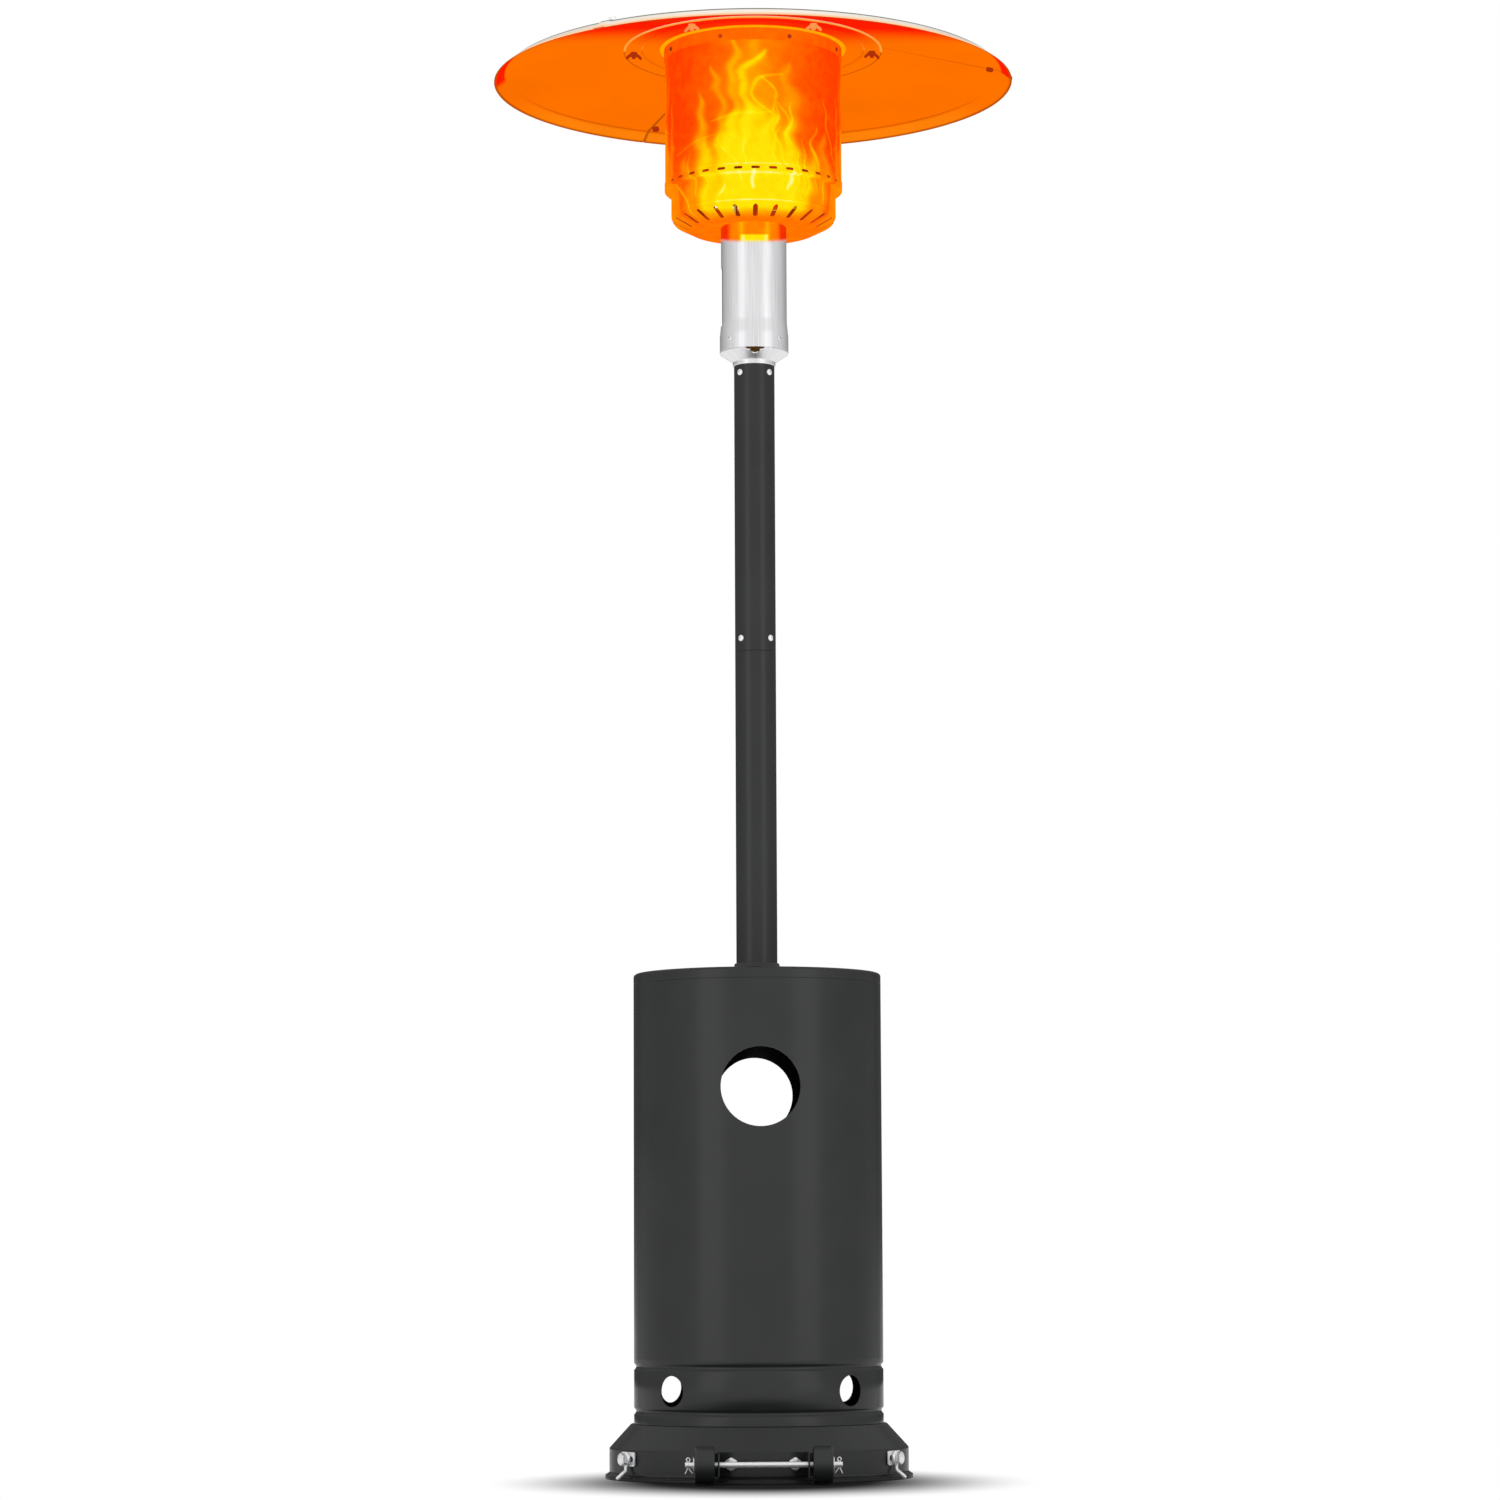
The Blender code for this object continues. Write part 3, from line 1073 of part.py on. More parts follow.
def screen():
    """The slotted ring on the bowl, the emitter screen and its top ring."""
    ring_out = SCREEN_RADIUS + SCREEN_RING_LIP
    ring_in = SCREEN_RADIUS - SCREEN_SHEET
    ring_top = SCREEN_RING_FOOT + SCREEN_RING_HEIGHT
    shelf = BOWL_RADIUS - BOWL_SHEET - SCREEN_RING_INSET
    half_facet = 360 / RING_SLOTS / 2
    ring = turned("screen_ring", [
        (ring_out, ring_top),
        (ring_out, SCREEN_RING_FOOT),
        (shelf, SCREEN_RING_FOOT),
        (shelf, SCREEN_RING_FOOT + SCREEN_SHEET),
        (ring_in, SCREEN_RING_FOOT + SCREEN_SHEET),
        (ring_in, ring_top),
    ], "bright_steel", RING_SLOTS, start=half_facet)
    slot = box_mesh("ring_slot", (-OVERRUN, -RING_SLOT_LENGTH / 2, -RING_SLOT_HEIGHT / 2),
                    (OVERRUN, RING_SLOT_LENGTH / 2, RING_SLOT_HEIGHT / 2))
    places = [upright(turn, SCREEN_RING_FOOT + RING_SLOT_RISE, ring_out)
              for turn in turns(RING_SLOTS, NEAR)]
    combine(ring, add_tool("ring_slots", group("ring_slots", slot, places)))
    turned("emitter_screen", [
        (SCREEN_RADIUS, SCREEN_TOP), (SCREEN_RADIUS, SCREEN_FOOT),
        (SCREEN_RADIUS - SCREEN_SHEET, SCREEN_FOOT), (SCREEN_RADIUS - SCREEN_SHEET, SCREEN_TOP),
    ], "hot_screen", SCREEN_SIDES)
    turned("screen_top_ring", [
        (TOP_RING_RADIUS + TOP_RING_FLANGE, TOP_RING_UNDER + TOP_RING_SHEET),
        (TOP_RING_RADIUS + TOP_RING_FLANGE, TOP_RING_UNDER),
        (TOP_RING_RADIUS, TOP_RING_UNDER),
        (TOP_RING_RADIUS, TOP_RING_UNDER - TOP_RING_COLLAR),
        (TOP_RING_BORE, TOP_RING_UNDER - TOP_RING_COLLAR),
        (TOP_RING_BORE, TOP_RING_UNDER + TOP_RING_SHEET),
    ], "bright_steel", SCREEN_SIDES)


def swept_panel(name, start, end):
    """A third of the reflector: its underside swept about Z, with a raised tongue at the start."""
    rim = REFLECTOR_UNDER - REFLECTOR_FALL
    under = [Vector(point) for point in (
        (REFLECTOR_INNER, REFLECTOR_UNDER), (REFLECTOR_FOLD, REFLECTOR_UNDER), (CREASE_RADIUS, rim),
        (REFLECTOR_RADIUS - REFLECTOR_SHEET, rim - REFLECTOR_LIP))]
    tongue = beside(under, REFLECTOR_SHEET + GAP)
    span = end - start
    columns = [(start - TONGUE_TURN, tongue), (start - JOGGLE_TURN, tongue)]
    columns += [(start + span * step / PANEL_STEPS, under) for step in range(PANEL_STEPS + 1)]
    shape = bmesh.new()
    rows = [[shape.verts.new((*on_circle(out, turn), up)) for out, up in chain]
            for turn, chain in columns]
    for row, after in zip(rows, rows[1:]):
        for index in range(len(under) - 1):
            shape.faces.new((row[index], row[index + 1], after[index + 1], after[index]))
    mesh = bpy.data.meshes.new(name)
    shape.to_mesh(mesh)
    shape.free()
    panel = add_part(name, mesh, "aluminium")
    wall = panel.modifiers.new("wall", "SOLIDIFY")
    wall.thickness = REFLECTOR_SHEET
    wall.offset = 1
    wall.use_even_offset = True
    return panel


def wing_nut_mesh():
    """A wing nut that hangs below Z = 0, with its bore open."""
    body = bpy.data.objects.new("wing_body", rod("wing_body", WING_CORE, -WING_HEIGHT, 0))
    tip_share = 0.68
    root = -WING_HEIGHT * tip_share
    wings = plate_mesh("wings", [
        (-WING_CORE * tip_share, root / 2), (-WING_REACH, -WING_DROP * tip_share),
        (-WING_REACH, -WING_DROP), (-WING_REACH * tip_share, -WING_DROP),
        (-WING_CORE * tip_share, root), (WING_CORE * tip_share, root),
        (WING_REACH * tip_share, -WING_DROP), (WING_REACH, -WING_DROP),
        (WING_REACH, -WING_DROP * tip_share), (WING_CORE * tip_share, root / 2)], WING_SHEET)
    wings.transform(Matrix.Rotation(math.radians(90), 4, "X"))
    TOOLS.objects.link(body)
    body.hide_render = True
    body.display_type = "WIRE"
    combine(body, add_tool("wings", wings), "UNION")
    bore = drill("wing_bore", STUD_RADIUS, -WING_DROP - OVERRUN, OVERRUN)
    combine(body, add_tool("wing_bore", bore))
    seen = body.evaluated_get(bpy.context.evaluated_depsgraph_get())
    return bpy.data.meshes.new_from_object(seen)


def reflector():
    """The plate on the screen, the three panels over it and everything that holds them."""
    roll = PLATE_UNDER - PLATE_ROLL
    plate = turned("reflector_plate", [
        (0, PLATE_UNDER + PLATE_STEP + PLATE_SHEET),
        (PLATE_STEP_RADIUS - PLATE_STEP, PLATE_UNDER + PLATE_STEP + PLATE_SHEET),
        (PLATE_STEP_RADIUS, PLATE_UNDER + PLATE_SHEET),
        (PLATE_RADIUS, PLATE_UNDER + PLATE_SHEET),
        (PLATE_RADIUS, roll),
        (PLATE_RADIUS - PLATE_ROLL, roll),
        (PLATE_RADIUS - PLATE_ROLL, PLATE_UNDER),
        (PLATE_STEP_RADIUS, PLATE_UNDER),
        (PLATE_STEP_RADIUS - PLATE_STEP, PLATE_UNDER + PLATE_STEP),
        (0, PLATE_UNDER + PLATE_STEP),
    ], "aluminium", ring=False)
    stack = REFLECTOR_SHEET + 2 * GAP + PLATE_SHEET
    stud = screw_mesh("stud", STUD_HEAD, STUD_HEAD_HEIGHT, STUD_RADIUS,
                      stack + WING_HEIGHT + STUD_END, -GAP)
    places = [upright(turn, REFLECTOR_UNDER + REFLECTOR_SHEET, STUD_CIRCLE)
              for turn in turns(STUDS, STUD_START)]
    hole = drill("stud_hole", STUD_RADIUS, -stack - OVERRUN / 2, OVERRUN)
    combine(plate, add_tool("stud_holes", group("stud_holes", hole, places)))
    hang = Matrix.Translation((0, 0, -stack))
    nut = wing_nut_mesh()
    for index, (place, turn) in enumerate(zip(places, WING_TURNS), 1):
        part = add_part(f"wing_nut_{index}", nut, "zinc")
        part.matrix_world = place @ hang @ Matrix.Rotation(math.radians(turn), 4, "Z")
    slope = math.atan2(REFLECTOR_FALL, CREASE_RADIUS - REFLECTOR_FOLD)
    drop = (SEAM_BOLT_CIRCLE - REFLECTOR_FOLD) * math.tan(slope)
    tilt = Matrix.Rotation(slope, 4, "Y")
    grip = 2 * REFLECTOR_SHEET + GAP
    bolt = bolt_mesh("seam_bolt", SEAM_BOLT_HEAD, SEAM_BOLT_HEIGHT, SEAM_BOLT_SHANK, grip, -GAP)
    hole = drill("seam_hole", SEAM_BOLT_SHANK, -grip - OVERRUN / 2, OVERRUN / 2)
    seams = turns(3, SEAM_START)
    studs_each = STUDS // len(seams)
    panels = []
    seam_holes = []
    for index, (side, start) in enumerate(zip(("right", "left", "near"), seams)):
        end = start + 360 / len(seams) - JOGGLE_TURN - JOGGLE_TURN / 5
        panel = swept_panel(f"reflector_panel_{side}", start, end)
        own = places[index * studs_each:(index + 1) * studs_each]
        combine(panel, add_tool(f"studs_{side}", group("studs", stud, own)), "UNION")
        seam = upright(start - TONGUE_TURN / 2, REFLECTOR_UNDER - drop, SEAM_BOLT_CIRCLE) @ tilt
        seam = seam @ Matrix.Translation((0, 0, grip))
        tool = add_tool(f"seam_bolt_{side}", bolt)
        tool.matrix_world = seam
        combine(panel, tool, "UNION")
        seam_holes.append(add_tool(f"seam_hole_{side}", hole))
        seam_holes[-1].matrix_world = seam
        panels.append(panel)
    for panel, seam_hole in zip(panels, seam_holes[1:] + seam_holes[:1]):
        combine(panel, seam_hole)


def main():
    """Build every piece."""
    cover = base()
    socket, upper = post()
    legs(cover, socket)
    housing()
    anchors(cover)
    wheel_bracket(cover)
    wheels()
    neck(upper)
    gas_control()
    gas_line()
    burner()
    screen()
    reflector()


main()
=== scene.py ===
"""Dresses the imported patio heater: smooth detailed metalwork, its finishes, the glow and the studio.

Metres, +Z up, origin on the floor under the pole. The wheels are on the -Y side, towards the camera.
Azimuths are degrees about +Z from +X.
"""
import math

import bmesh
import bpy
import numpy as np
from mathutils import Matrix, Vector


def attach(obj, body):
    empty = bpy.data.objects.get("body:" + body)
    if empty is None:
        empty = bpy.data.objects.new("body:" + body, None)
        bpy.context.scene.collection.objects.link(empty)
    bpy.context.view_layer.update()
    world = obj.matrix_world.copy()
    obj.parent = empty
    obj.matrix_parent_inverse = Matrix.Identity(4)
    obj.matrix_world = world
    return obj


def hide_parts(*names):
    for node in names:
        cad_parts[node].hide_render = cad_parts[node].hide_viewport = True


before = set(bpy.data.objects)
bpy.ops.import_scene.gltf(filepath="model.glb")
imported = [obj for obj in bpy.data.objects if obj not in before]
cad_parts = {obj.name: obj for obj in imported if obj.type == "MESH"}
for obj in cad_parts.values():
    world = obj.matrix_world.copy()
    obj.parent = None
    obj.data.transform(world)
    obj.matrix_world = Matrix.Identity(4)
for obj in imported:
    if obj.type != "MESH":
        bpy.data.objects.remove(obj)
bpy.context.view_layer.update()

# Where the CAD has its pieces
BASE_RADIUS = 0.2334
BASE_PLATE = 0.0045
COVER_FOOT = 0.0048
SKIRT_RADIUS = 0.227
SHOULDER_HEIGHT = 0.046
BASE_TOP_RADIUS = 0.194
BASE_TOP_HEIGHT = 0.082
COVER_SHEET = 0.0018
HOUSING_RADIUS = 0.1895
HOUSING_SHEET = 0.0015
HOUSING_FOOT = 0.0823
HOUSING_TOP = 0.747
LID_FOOT = 0.7473
LID_TOP = 0.7638
POLE_RADIUS = 0.0315
POLE_FOOT = 0.7026
POLE_SEAM = 1.262
POLE_TOP = 1.711
CUP_SEAT = 1.7113
CUP_CONE_FOOT = 1.7181
CUP_RIM = 1.7316
NECK_FOOT = 1.7334
NECK_TOP = 1.9319
NECK_RADIUS = 0.0512
CUP_RADIUS = 0.0535
WINDOW_FOOT = 1.7746
WINDOW_HEIGHT = 0.092
VALVE_HEIGHT = 1.8206
BOWL_UNDER = 1.9322
BOWL_TOP = 1.9896
BOWL_RADIUS = 0.1285
RING_FOOT = 1.9899
RING_HEIGHT = 0.0127
SCREEN_FOOT = 2.0029
SCREEN_TOP = 2.2164
SCREEN_RADIUS = 0.138
TOP_RING_UNDER = 2.2167
PLATE_UNDER = 2.2152
PLATE_RADIUS = 0.203
REFLECTOR_UNDER = 2.2167
REFLECTOR_RADIUS = 0.4065
REFLECTOR_FALL = 0.041
REFLECTOR_LIP = 0.0149
CREASE_RADIUS = 0.3864
REFLECTOR_SHEET = 0.001
REFLECTOR_FOLD = 0.2045
REFLECTOR_INNER = 0.178
PANEL_TURN = 105
SEAM_TURN = -4.5
SEAM_GAP = 0.6
GAP = 0.0003
NEAR = -90
MM = 0.001
TUBE_WALL = 1.5 * MM
SWAGE_RADIUS = POLE_RADIUS - TUBE_WALL - GAP
SHARP = 38                    # degrees between two faces that make a crisp edge

ROUND = 192                   # sides of the large turned pieces
TURNED = 96                   # sides of the pole and the neck
FINE = 400                    # sides of the pieces that show the flames


# Meshes from arrays

def grid_mesh(grid, wrap_rows=True, wrap_columns=True, caps=False):
    """Faces between the points of a grid[row, column, xyz]; rows and columns may close on themselves.

    Poles and seams are welded, open ends are capped where asked, and every face is turned outwards.
    """
    rows, columns = grid.shape[:2]
    row = np.arange(rows if wrap_rows else rows - 1)[:, None]
    column = np.arange(columns if wrap_columns else columns - 1)
    after_row, after_column = (row + 1) % rows, (column + 1) % columns
    faces = np.stack((row * columns + column, after_row * columns + column,
                      after_row * columns + after_column, row * columns + after_column), -1)
    faces = faces.reshape(-1, 4)
    mesh = bpy.data.meshes.new("piece")
    mesh.vertices.add(rows * columns)
    mesh.vertices.foreach_set("co", grid.astype(np.float32).ravel())
    mesh.loops.add(faces.size)
    mesh.loops.foreach_set("vertex_index", faces.astype(np.int32).ravel())
    mesh.polygons.add(len(faces))
    mesh.polygons.foreach_set("loop_start", np.arange(0, faces.size, 4, dtype=np.int32))
    mesh.update(calc_edges=True)
    shape = bmesh.new()
    shape.from_mesh(mesh)
    if caps:
        shape.verts.ensure_lookup_table()
        for first in (0, (rows - 1) * columns):
            shape.faces.new(shape.verts[first:first + columns])
    bmesh.ops.remove_doubles(shape, verts=shape.verts[:], dist=1e-6)
    bmesh.ops.recalc_face_normals(shape, faces=shape.faces[:])
    shape.to_mesh(mesh)
    shape.free()
    return mesh


def corner_arc(before, here, after, radius, steps):
    """An arc in place of a corner, the ways back and ahead from it, and how far along them it reaches.

    The arc's centre lies on the bisector; the points are centre + radius * (cos, sin) between the two
    tangent points.
    """
    back = (before - here) / np.linalg.norm(before - here)
    ahead = (after - here) / np.linalg.norm(after - here)
    half = math.acos(np.clip(back @ ahead, -1, 1)) / 2
    reach = radius / math.tan(half)
    centre = here + (back + ahead) / np.linalg.norm(back + ahead) * radius / math.sin(half)
    first, last = here + back * reach - centre, here + ahead * reach - centre
    share = np.linspace(0, 1, steps + 1)[:, None]
    angle = math.acos(np.clip(first @ last / radius ** 2, -1, 1))
    bend = centre + (np.sin((1 - share) * angle) * first + np.sin(share * angle) * last) / math.sin(angle)
    return bend, back, ahead, reach


def rounded(corners, steps=5):
    """A closed profile whose corners (out, up, radius in mm) are arcs, with a point before and after."""
    points = np.array([corner[:2] for corner in corners], float)
    profile = []
    for index, (here, corner) in enumerate(zip(points, corners)):
        if len(corner) < 3:
            profile.append(here[None])
            continue
        radius = corner[2] * MM
        bend, back, ahead, reach = corner_arc(points[index - 1], here, points[(index + 1) % len(points)],
                                              radius, steps)
        reach += min(radius, 2 * MM) / 4
        profile += [(here + back * reach)[None], bend, (here + ahead * reach)[None]]
    return np.concatenate(profile)


def rounded_path(points, radius, steps=6):
    """A route in space whose corners are arcs."""
    points = np.array(points, float)
    arcs = [corner_arc(*corner, radius, steps)[0] for corner in zip(points, points[1:], points[2:])]
    return np.concatenate((points[:1], *arcs, points[-1:]))


def arc(radius, turn):
    """Points (x, y) of a circle at those angles."""
    return radius * np.column_stack((np.cos(turn), np.sin(turn)))


def turned(profile, turn):
    """Points (radius, height), one row for all turns or one for each, about Z: x = r cos a, y = r sin a."""
    turn = turn[:, None]
    out, up = np.moveaxis(np.asarray(profile, float), -1, 0)
    return np.stack((np.cos(turn) * out, np.sin(turn) * out, up + 0 * turn), -1)


def lathe(profile, sides=ROUND):
    """A closed profile of (radius, height) turned about Z."""
    return grid_mesh(turned(profile, np.linspace(0, 2 * np.pi, sides, endpoint=False)))


def swept(profile, first, last, steps):
    """A closed profile of (radius, height) swept about Z between two azimuths, with capped ends."""
    turn = np.radians(np.linspace(first, last, steps + 1))
    return grid_mesh(turned(profile, turn), wrap_rows=False, caps=True)


def rod(radius, low, high, sides):
    """A plain cylinder along Z."""
    return lathe([(0, low), (radius, low), (radius, high), (0, high)], sides)


def wire(path, across, radius, sides=14):
    """A round wire along a flat path: point + radius * (cos a * side + sin a * across), with domed ends."""
    path = np.asarray(path, float)
    along = np.gradient(path, axis=0)
    along /= np.linalg.norm(along, axis=1)[:, None]
    across = np.asarray(across, float) / np.linalg.norm(across)
    side = np.cross(along, across)
    side /= np.linalg.norm(side, axis=1)[:, None]
    bulge = np.radians([90, 60, 30, 0])[:, None]
    front = path[:1] - along[:1] * np.sin(bulge) * radius
    back = path[-1:] + along[-1:] * np.sin(bulge[::-1]) * radius
    middle = np.concatenate((front, path[1:-1], back))
    scale = np.concatenate((np.cos(bulge)[:, 0], np.ones(len(path) - 2), np.cos(bulge[::-1])[:, 0]))
    sides_of = np.concatenate((np.repeat(side[:1], 4, 0), side[1:-1], np.repeat(side[-1:], 4, 0)))
    turn = np.linspace(0, 2 * np.pi, sides, endpoint=False)[None, :, None]
    grid = middle[:, None] + radius * scale[:, None, None] * (
        np.cos(turn) * sides_of[:, None] + np.sin(turn) * across)
    return grid_mesh(grid, wrap_rows=False)


def prism(outline, low, high, chamfer=0.0):
    """A flat outline raised between two heights, drawn in by the chamfer at both ends."""
    outline = np.asarray(outline, float)
    inward = outline.mean(0) - outline
    inward /= np.linalg.norm(inward, axis=1)[:, None]
    small = outline + inward * chamfer
    rows = [(outline, low), (outline, high)]
    if chamfer:
        rows = [(small, low), (outline, low + chamfer), (outline, high - chamfer), (small, high)]
    grid = np.stack([np.column_stack((points, np.full(len(points), up))) for points, up in rows])
    return grid_mesh(grid, wrap_rows=False, caps=True)


def hexagon_head(corner_radius, height, seat=0.0):
    """A hex bolt head: the six-sided radius a / cos(((t + 30) mod 60) - 30), its top edge cut by a cone."""
    turn = np.linspace(0, 2 * np.pi, 72, endpoint=False)
    flat = corner_radius * math.cos(math.pi / 6)
    sixth = np.pi / 3
    corner = flat / np.cos((turn + sixth / 2) % sixth - sixth / 2)
    cut = (corner - flat * 0.97) * math.tan(math.radians(30))
    none = 0 * turn
    rows = [(none, seat + none), (corner * 0.97, seat + none), (corner, seat + 0.4 * MM + none),
            (corner, seat + height - cut), (flat * 0.93 + none, seat + height + none),
            (none, seat + height + none)]
    grid = np.stack([np.column_stack((np.cos(turn) * out, np.sin(turn) * out, up)) for out, up in rows], 1)
    return grid_mesh(grid, wrap_columns=False)


def pan_head(radius, height):
    """A domed cross-head screw: an ellipse arc turned about Z, with a cross cut into it."""
    rise = np.radians(np.linspace(0, 90, 9))
    dome = np.column_stack((radius * np.cos(rise), height * (0.25 + 0.75 * np.sin(rise))))
    head = lathe(np.concatenate(([[0, 0], [radius, 0]], dome)), 32)
    arm, half = radius * 0.55, radius * 0.11
    for wide, high in ((arm, half), (half, arm)):
        head = carved(head, prism([(-wide, -high), (wide, -high), (wide, high), (-wide, high)],
                                  height * 0.45, height * 2))
    return head


def shown(name, data):
    """A new object in the scene."""
    item = bpy.data.objects.new(name, data)
    bpy.context.scene.collection.objects.link(item)
    return item


def carved(mesh, tool):
    """The mesh with the tool cut out of it by an exact Boolean."""
    piece, cutter = shown("carved", mesh), shown("tool", tool)
    cut = piece.modifiers.new("cut", "BOOLEAN")
    cut.object, cut.operation, cut.solver = cutter, "DIFFERENCE", "EXACT"
    bpy.context.view_layer.update()
    done = bpy.data.meshes.new_from_object(piece.evaluated_get(bpy.context.evaluated_depsgraph_get()))
    for item in (piece, cutter):
        bpy.data.objects.remove(item)
    return done


def placed(mesh, place):
    """A copy of the mesh at that place."""
    copy = mesh.copy()
    copy.transform(place)
    return copy


def joined(meshes, places=None):
    """Copies of meshes at their places, in one mesh."""
    shape = bmesh.new()
    for mesh, place in zip(meshes, places or [Matrix.Identity(4)] * len(meshes)):
        copy = placed(mesh, place)
        shape.from_mesh(copy)
        bpy.data.meshes.remove(copy)
    whole = bpy.data.meshes.new("piece")
    shape.to_mesh(whole)
    shape.free()
    return whole


OUTWARDS = Matrix(((0, 0, 1, 0), (1, 0, 0, 0), (0, 1, 0, 0), (0, 0, 0, 1)))     # Z to X, Y to Z, X to Y


def about_z(turn):
    """A turn about Z in degrees."""
    return Matrix.Rotation(math.radians(turn), 4, "Z")


def along_z(rise):
    """A move along Z."""
    return Matrix.Translation((0, 0, rise))


def radial(turn, height, out=0.0):
    """A place whose Z axis points outwards at that azimuth and whose Y axis points up."""
    return along_z(height) @ about_z(turn) @ Matrix.Translation((out, 0, 0)) @ OUTWARDS


def upright(turn, height, out):
    """A place at that azimuth and radius whose Z axis points up and whose X axis points outwards."""
    return about_z(turn) @ Matrix.Translation((out, 0, height))


def turns(count, start):
    """Azimuths shared out evenly."""
    return [start + 360 * index / count for index in range(count)]


def screwed_round(name, screw, finish, height, out, count=4, start=45, twist=1):
    """A ring of screws, each turned a different way by its twist."""
    places = [radial(turn, height, out) @ Matrix.Rotation(turn * twist, 4, "Z")
              for turn in turns(count, start)]
    put(name, joined([screw] * count, places), finish)


def put(name, mesh, finish, stands_for=(), body="heater"):
    """A finished piece of the heater, riding on its body in place of its CAD nodes."""
    piece = shown(name, mesh)
    mesh.name = name
    mesh.shade_smooth()
    mesh.set_sharp_from_angle(angle=math.radians(SHARP))
    finishes = finish if isinstance(finish, list) else [finish]
    for item in finishes:
        mesh.materials.append(item)
    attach(piece, body)
    if stands_for:
        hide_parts(*stands_for)
    stored_on = mesh.attributes
    if stored_on.get("glow") or stored_on.get("glow_level") and not stored_on.get("lit"):
        piece.visible_glossy = False
    return piece


# Materials

def linear(code):
    """An sRGB hex colour as linear RGBA."""
    share = np.array([int(code[start:start + 2], 16) for start in (0, 2, 4)]) / 255
    value = np.where(share <= 0.04045, share / 12.92, ((share + 0.055) / 1.055) ** 2.4)
    return (*value.tolist(), 1.0)


def add_node(tree, kind, settings=None, links=None, output=0):
    """Adds a node, sets its properties, sockets and colour stops, links its inputs and gives an output."""
    node = tree.nodes.new("ShaderNode" + kind)
    for key, value in (settings or {}).items():
        if key == "stops":
            band = node.color_ramp.elements
            while len(band) < len(value):
                band.new(1.0)
            for element, (position, code) in zip(band, value):
                element.position, element.color = position, linear(code)
        elif isinstance(key, str) and hasattr(node, key) and key not in node.inputs:
            setattr(node, key, value)
        else:
            node.inputs[key].default_value = value
    for key, source in (links or {}).items():
        tree.links.new(source, node.inputs[key])
    return node.outputs[output]


def new_finish(name, **settings):
    """A Principled material and its tree, its shader and its Object coordinates."""
    finish = bpy.data.materials.new(name)
    finish.use_nodes = True
    tree = finish.node_tree
    shader = tree.nodes["Principled BSDF"]
    for key, value in settings.items():
        shader.inputs[key.replace("_", " ")].default_value = value
    return finish, tree, shader, add_node(tree, "TexCoord", output="Object")


def grained(tree, place, waves, detail, stretch=(1, 1, 1)):
    """Noise on Object coordinates, stretched by a Mapping node, in waves per metre."""
    spread = add_node(tree, "Mapping", {"Scale": stretch}, {"Vector": place})
    return add_node(tree, "TexNoise", {"Scale": waves, "Detail": detail}, {"Vector": spread}, "Fac")


def feed(tree, shader, **sources):
    """Links each source to the shader's socket of that name."""
    for key, source in sources.items():
        tree.links.new(source, shader.inputs[key.replace("_", " ")])


def follow(tree, shader, pattern, colours, roughness=None, bump=None):
    """Lets the colour, and where given the roughness and the height, follow a pattern."""
    shade = add_node(tree, "ValToRGB", {"stops": colours}, {"Fac": pattern})
    feed(tree, shader, Base_Color=shade)
    if roughness:
        feed(tree, shader, Roughness=add_node(
            tree, "MapRange", {"To Min": roughness[0], "To Max": roughness[1]}, {"Value": pattern}))
    if bump:
        feed(tree, shader, Normal=add_node(
            tree, "Bump", {"Strength": bump[0], "Distance": bump[1]}, {"Height": pattern}))
    return shade


def patchy_finish(name, waves, detail, colours, roughness=None, bump=None, **settings):
    """A finish whose colour, gloss and grain follow one noise pattern."""
    finish, tree, shader, place = new_finish(name, **settings)
    follow(tree, shader, grained(tree, place, waves, detail), colours, roughness, bump)
    return finish


def powder_coat():
    """Charcoal polyester powder coat on steel: a satin skin with fine orange peel, 2 to 3 mm from crest
    to crest, and slow changes of gloss where the coat is thicker."""
    finish, tree, shader, place = new_finish("charcoal_powder_coat", Roughness=0.24)
    cloud = grained(tree, place, 9, 2)
    follow(tree, shader, cloud, [(0.3, "202221"), (0.7, "252726")])
    gloss = add_node(tree, "MapRange", {"From Min": 0.3, "From Max": 0.7, "To Min": 0.2, "To Max": 0.28},
                     {"Value": cloud})
    tilt = add_node(tree, "LayerWeight", {"Blend": 0.5}, output="Facing")
    shine = add_node(tree, "MapRange", {"From Min": 0.1, "From Max": 0.72, "To Min": 0.38, "To Max": 0.03},
                     {"Value": tilt})
    peel = add_node(tree, "Bump", {"Strength": 0.06, "Distance": 0.0004},
                    {"Height": grained(tree, place, 420, 2)})
    feed(tree, shader, Roughness=gloss, Specular_IOR_Level=shine, Normal=peel)
    return finish


STEEL_TONES = [(0.25, "D6D6D8"), (0.75, "F0F0F1")]
STEEL_ROUGHNESS = (0.26, 0.38)


def streaks(tree, place):
    """Brushing marks 1 mm wide and 90 mm long that run along a tube: noise on (x, y) / r * 52 mm and on z."""
    flat = add_node(tree, "Mapping", {"Scale": (1, 1, 0)}, {"Vector": place})
    ring = add_node(tree, "VectorMath", {"operation": "NORMALIZE"}, {0: flat})
    ring = add_node(tree, "VectorMath", {"operation": "SCALE", "Scale": 0.052}, {0: ring})
    along = add_node(tree, "Mapping", {"Scale": (0, 0, 0.012)}, {"Vector": place})
    both = add_node(tree, "VectorMath", {"operation": "ADD"}, {0: ring, 1: along})
    return grained(tree, both, 900, 2)


def brushed_steel():
    """Bright stainless steel, brushed along its length."""
    finish, tree, shader, place = new_finish("brushed_stainless_steel", Metallic=1.0, Roughness=0.3)
    follow(tree, shader, streaks(tree, place), STEEL_TONES, STEEL_ROUGHNESS, (0.05, 0.0002))
    return finish


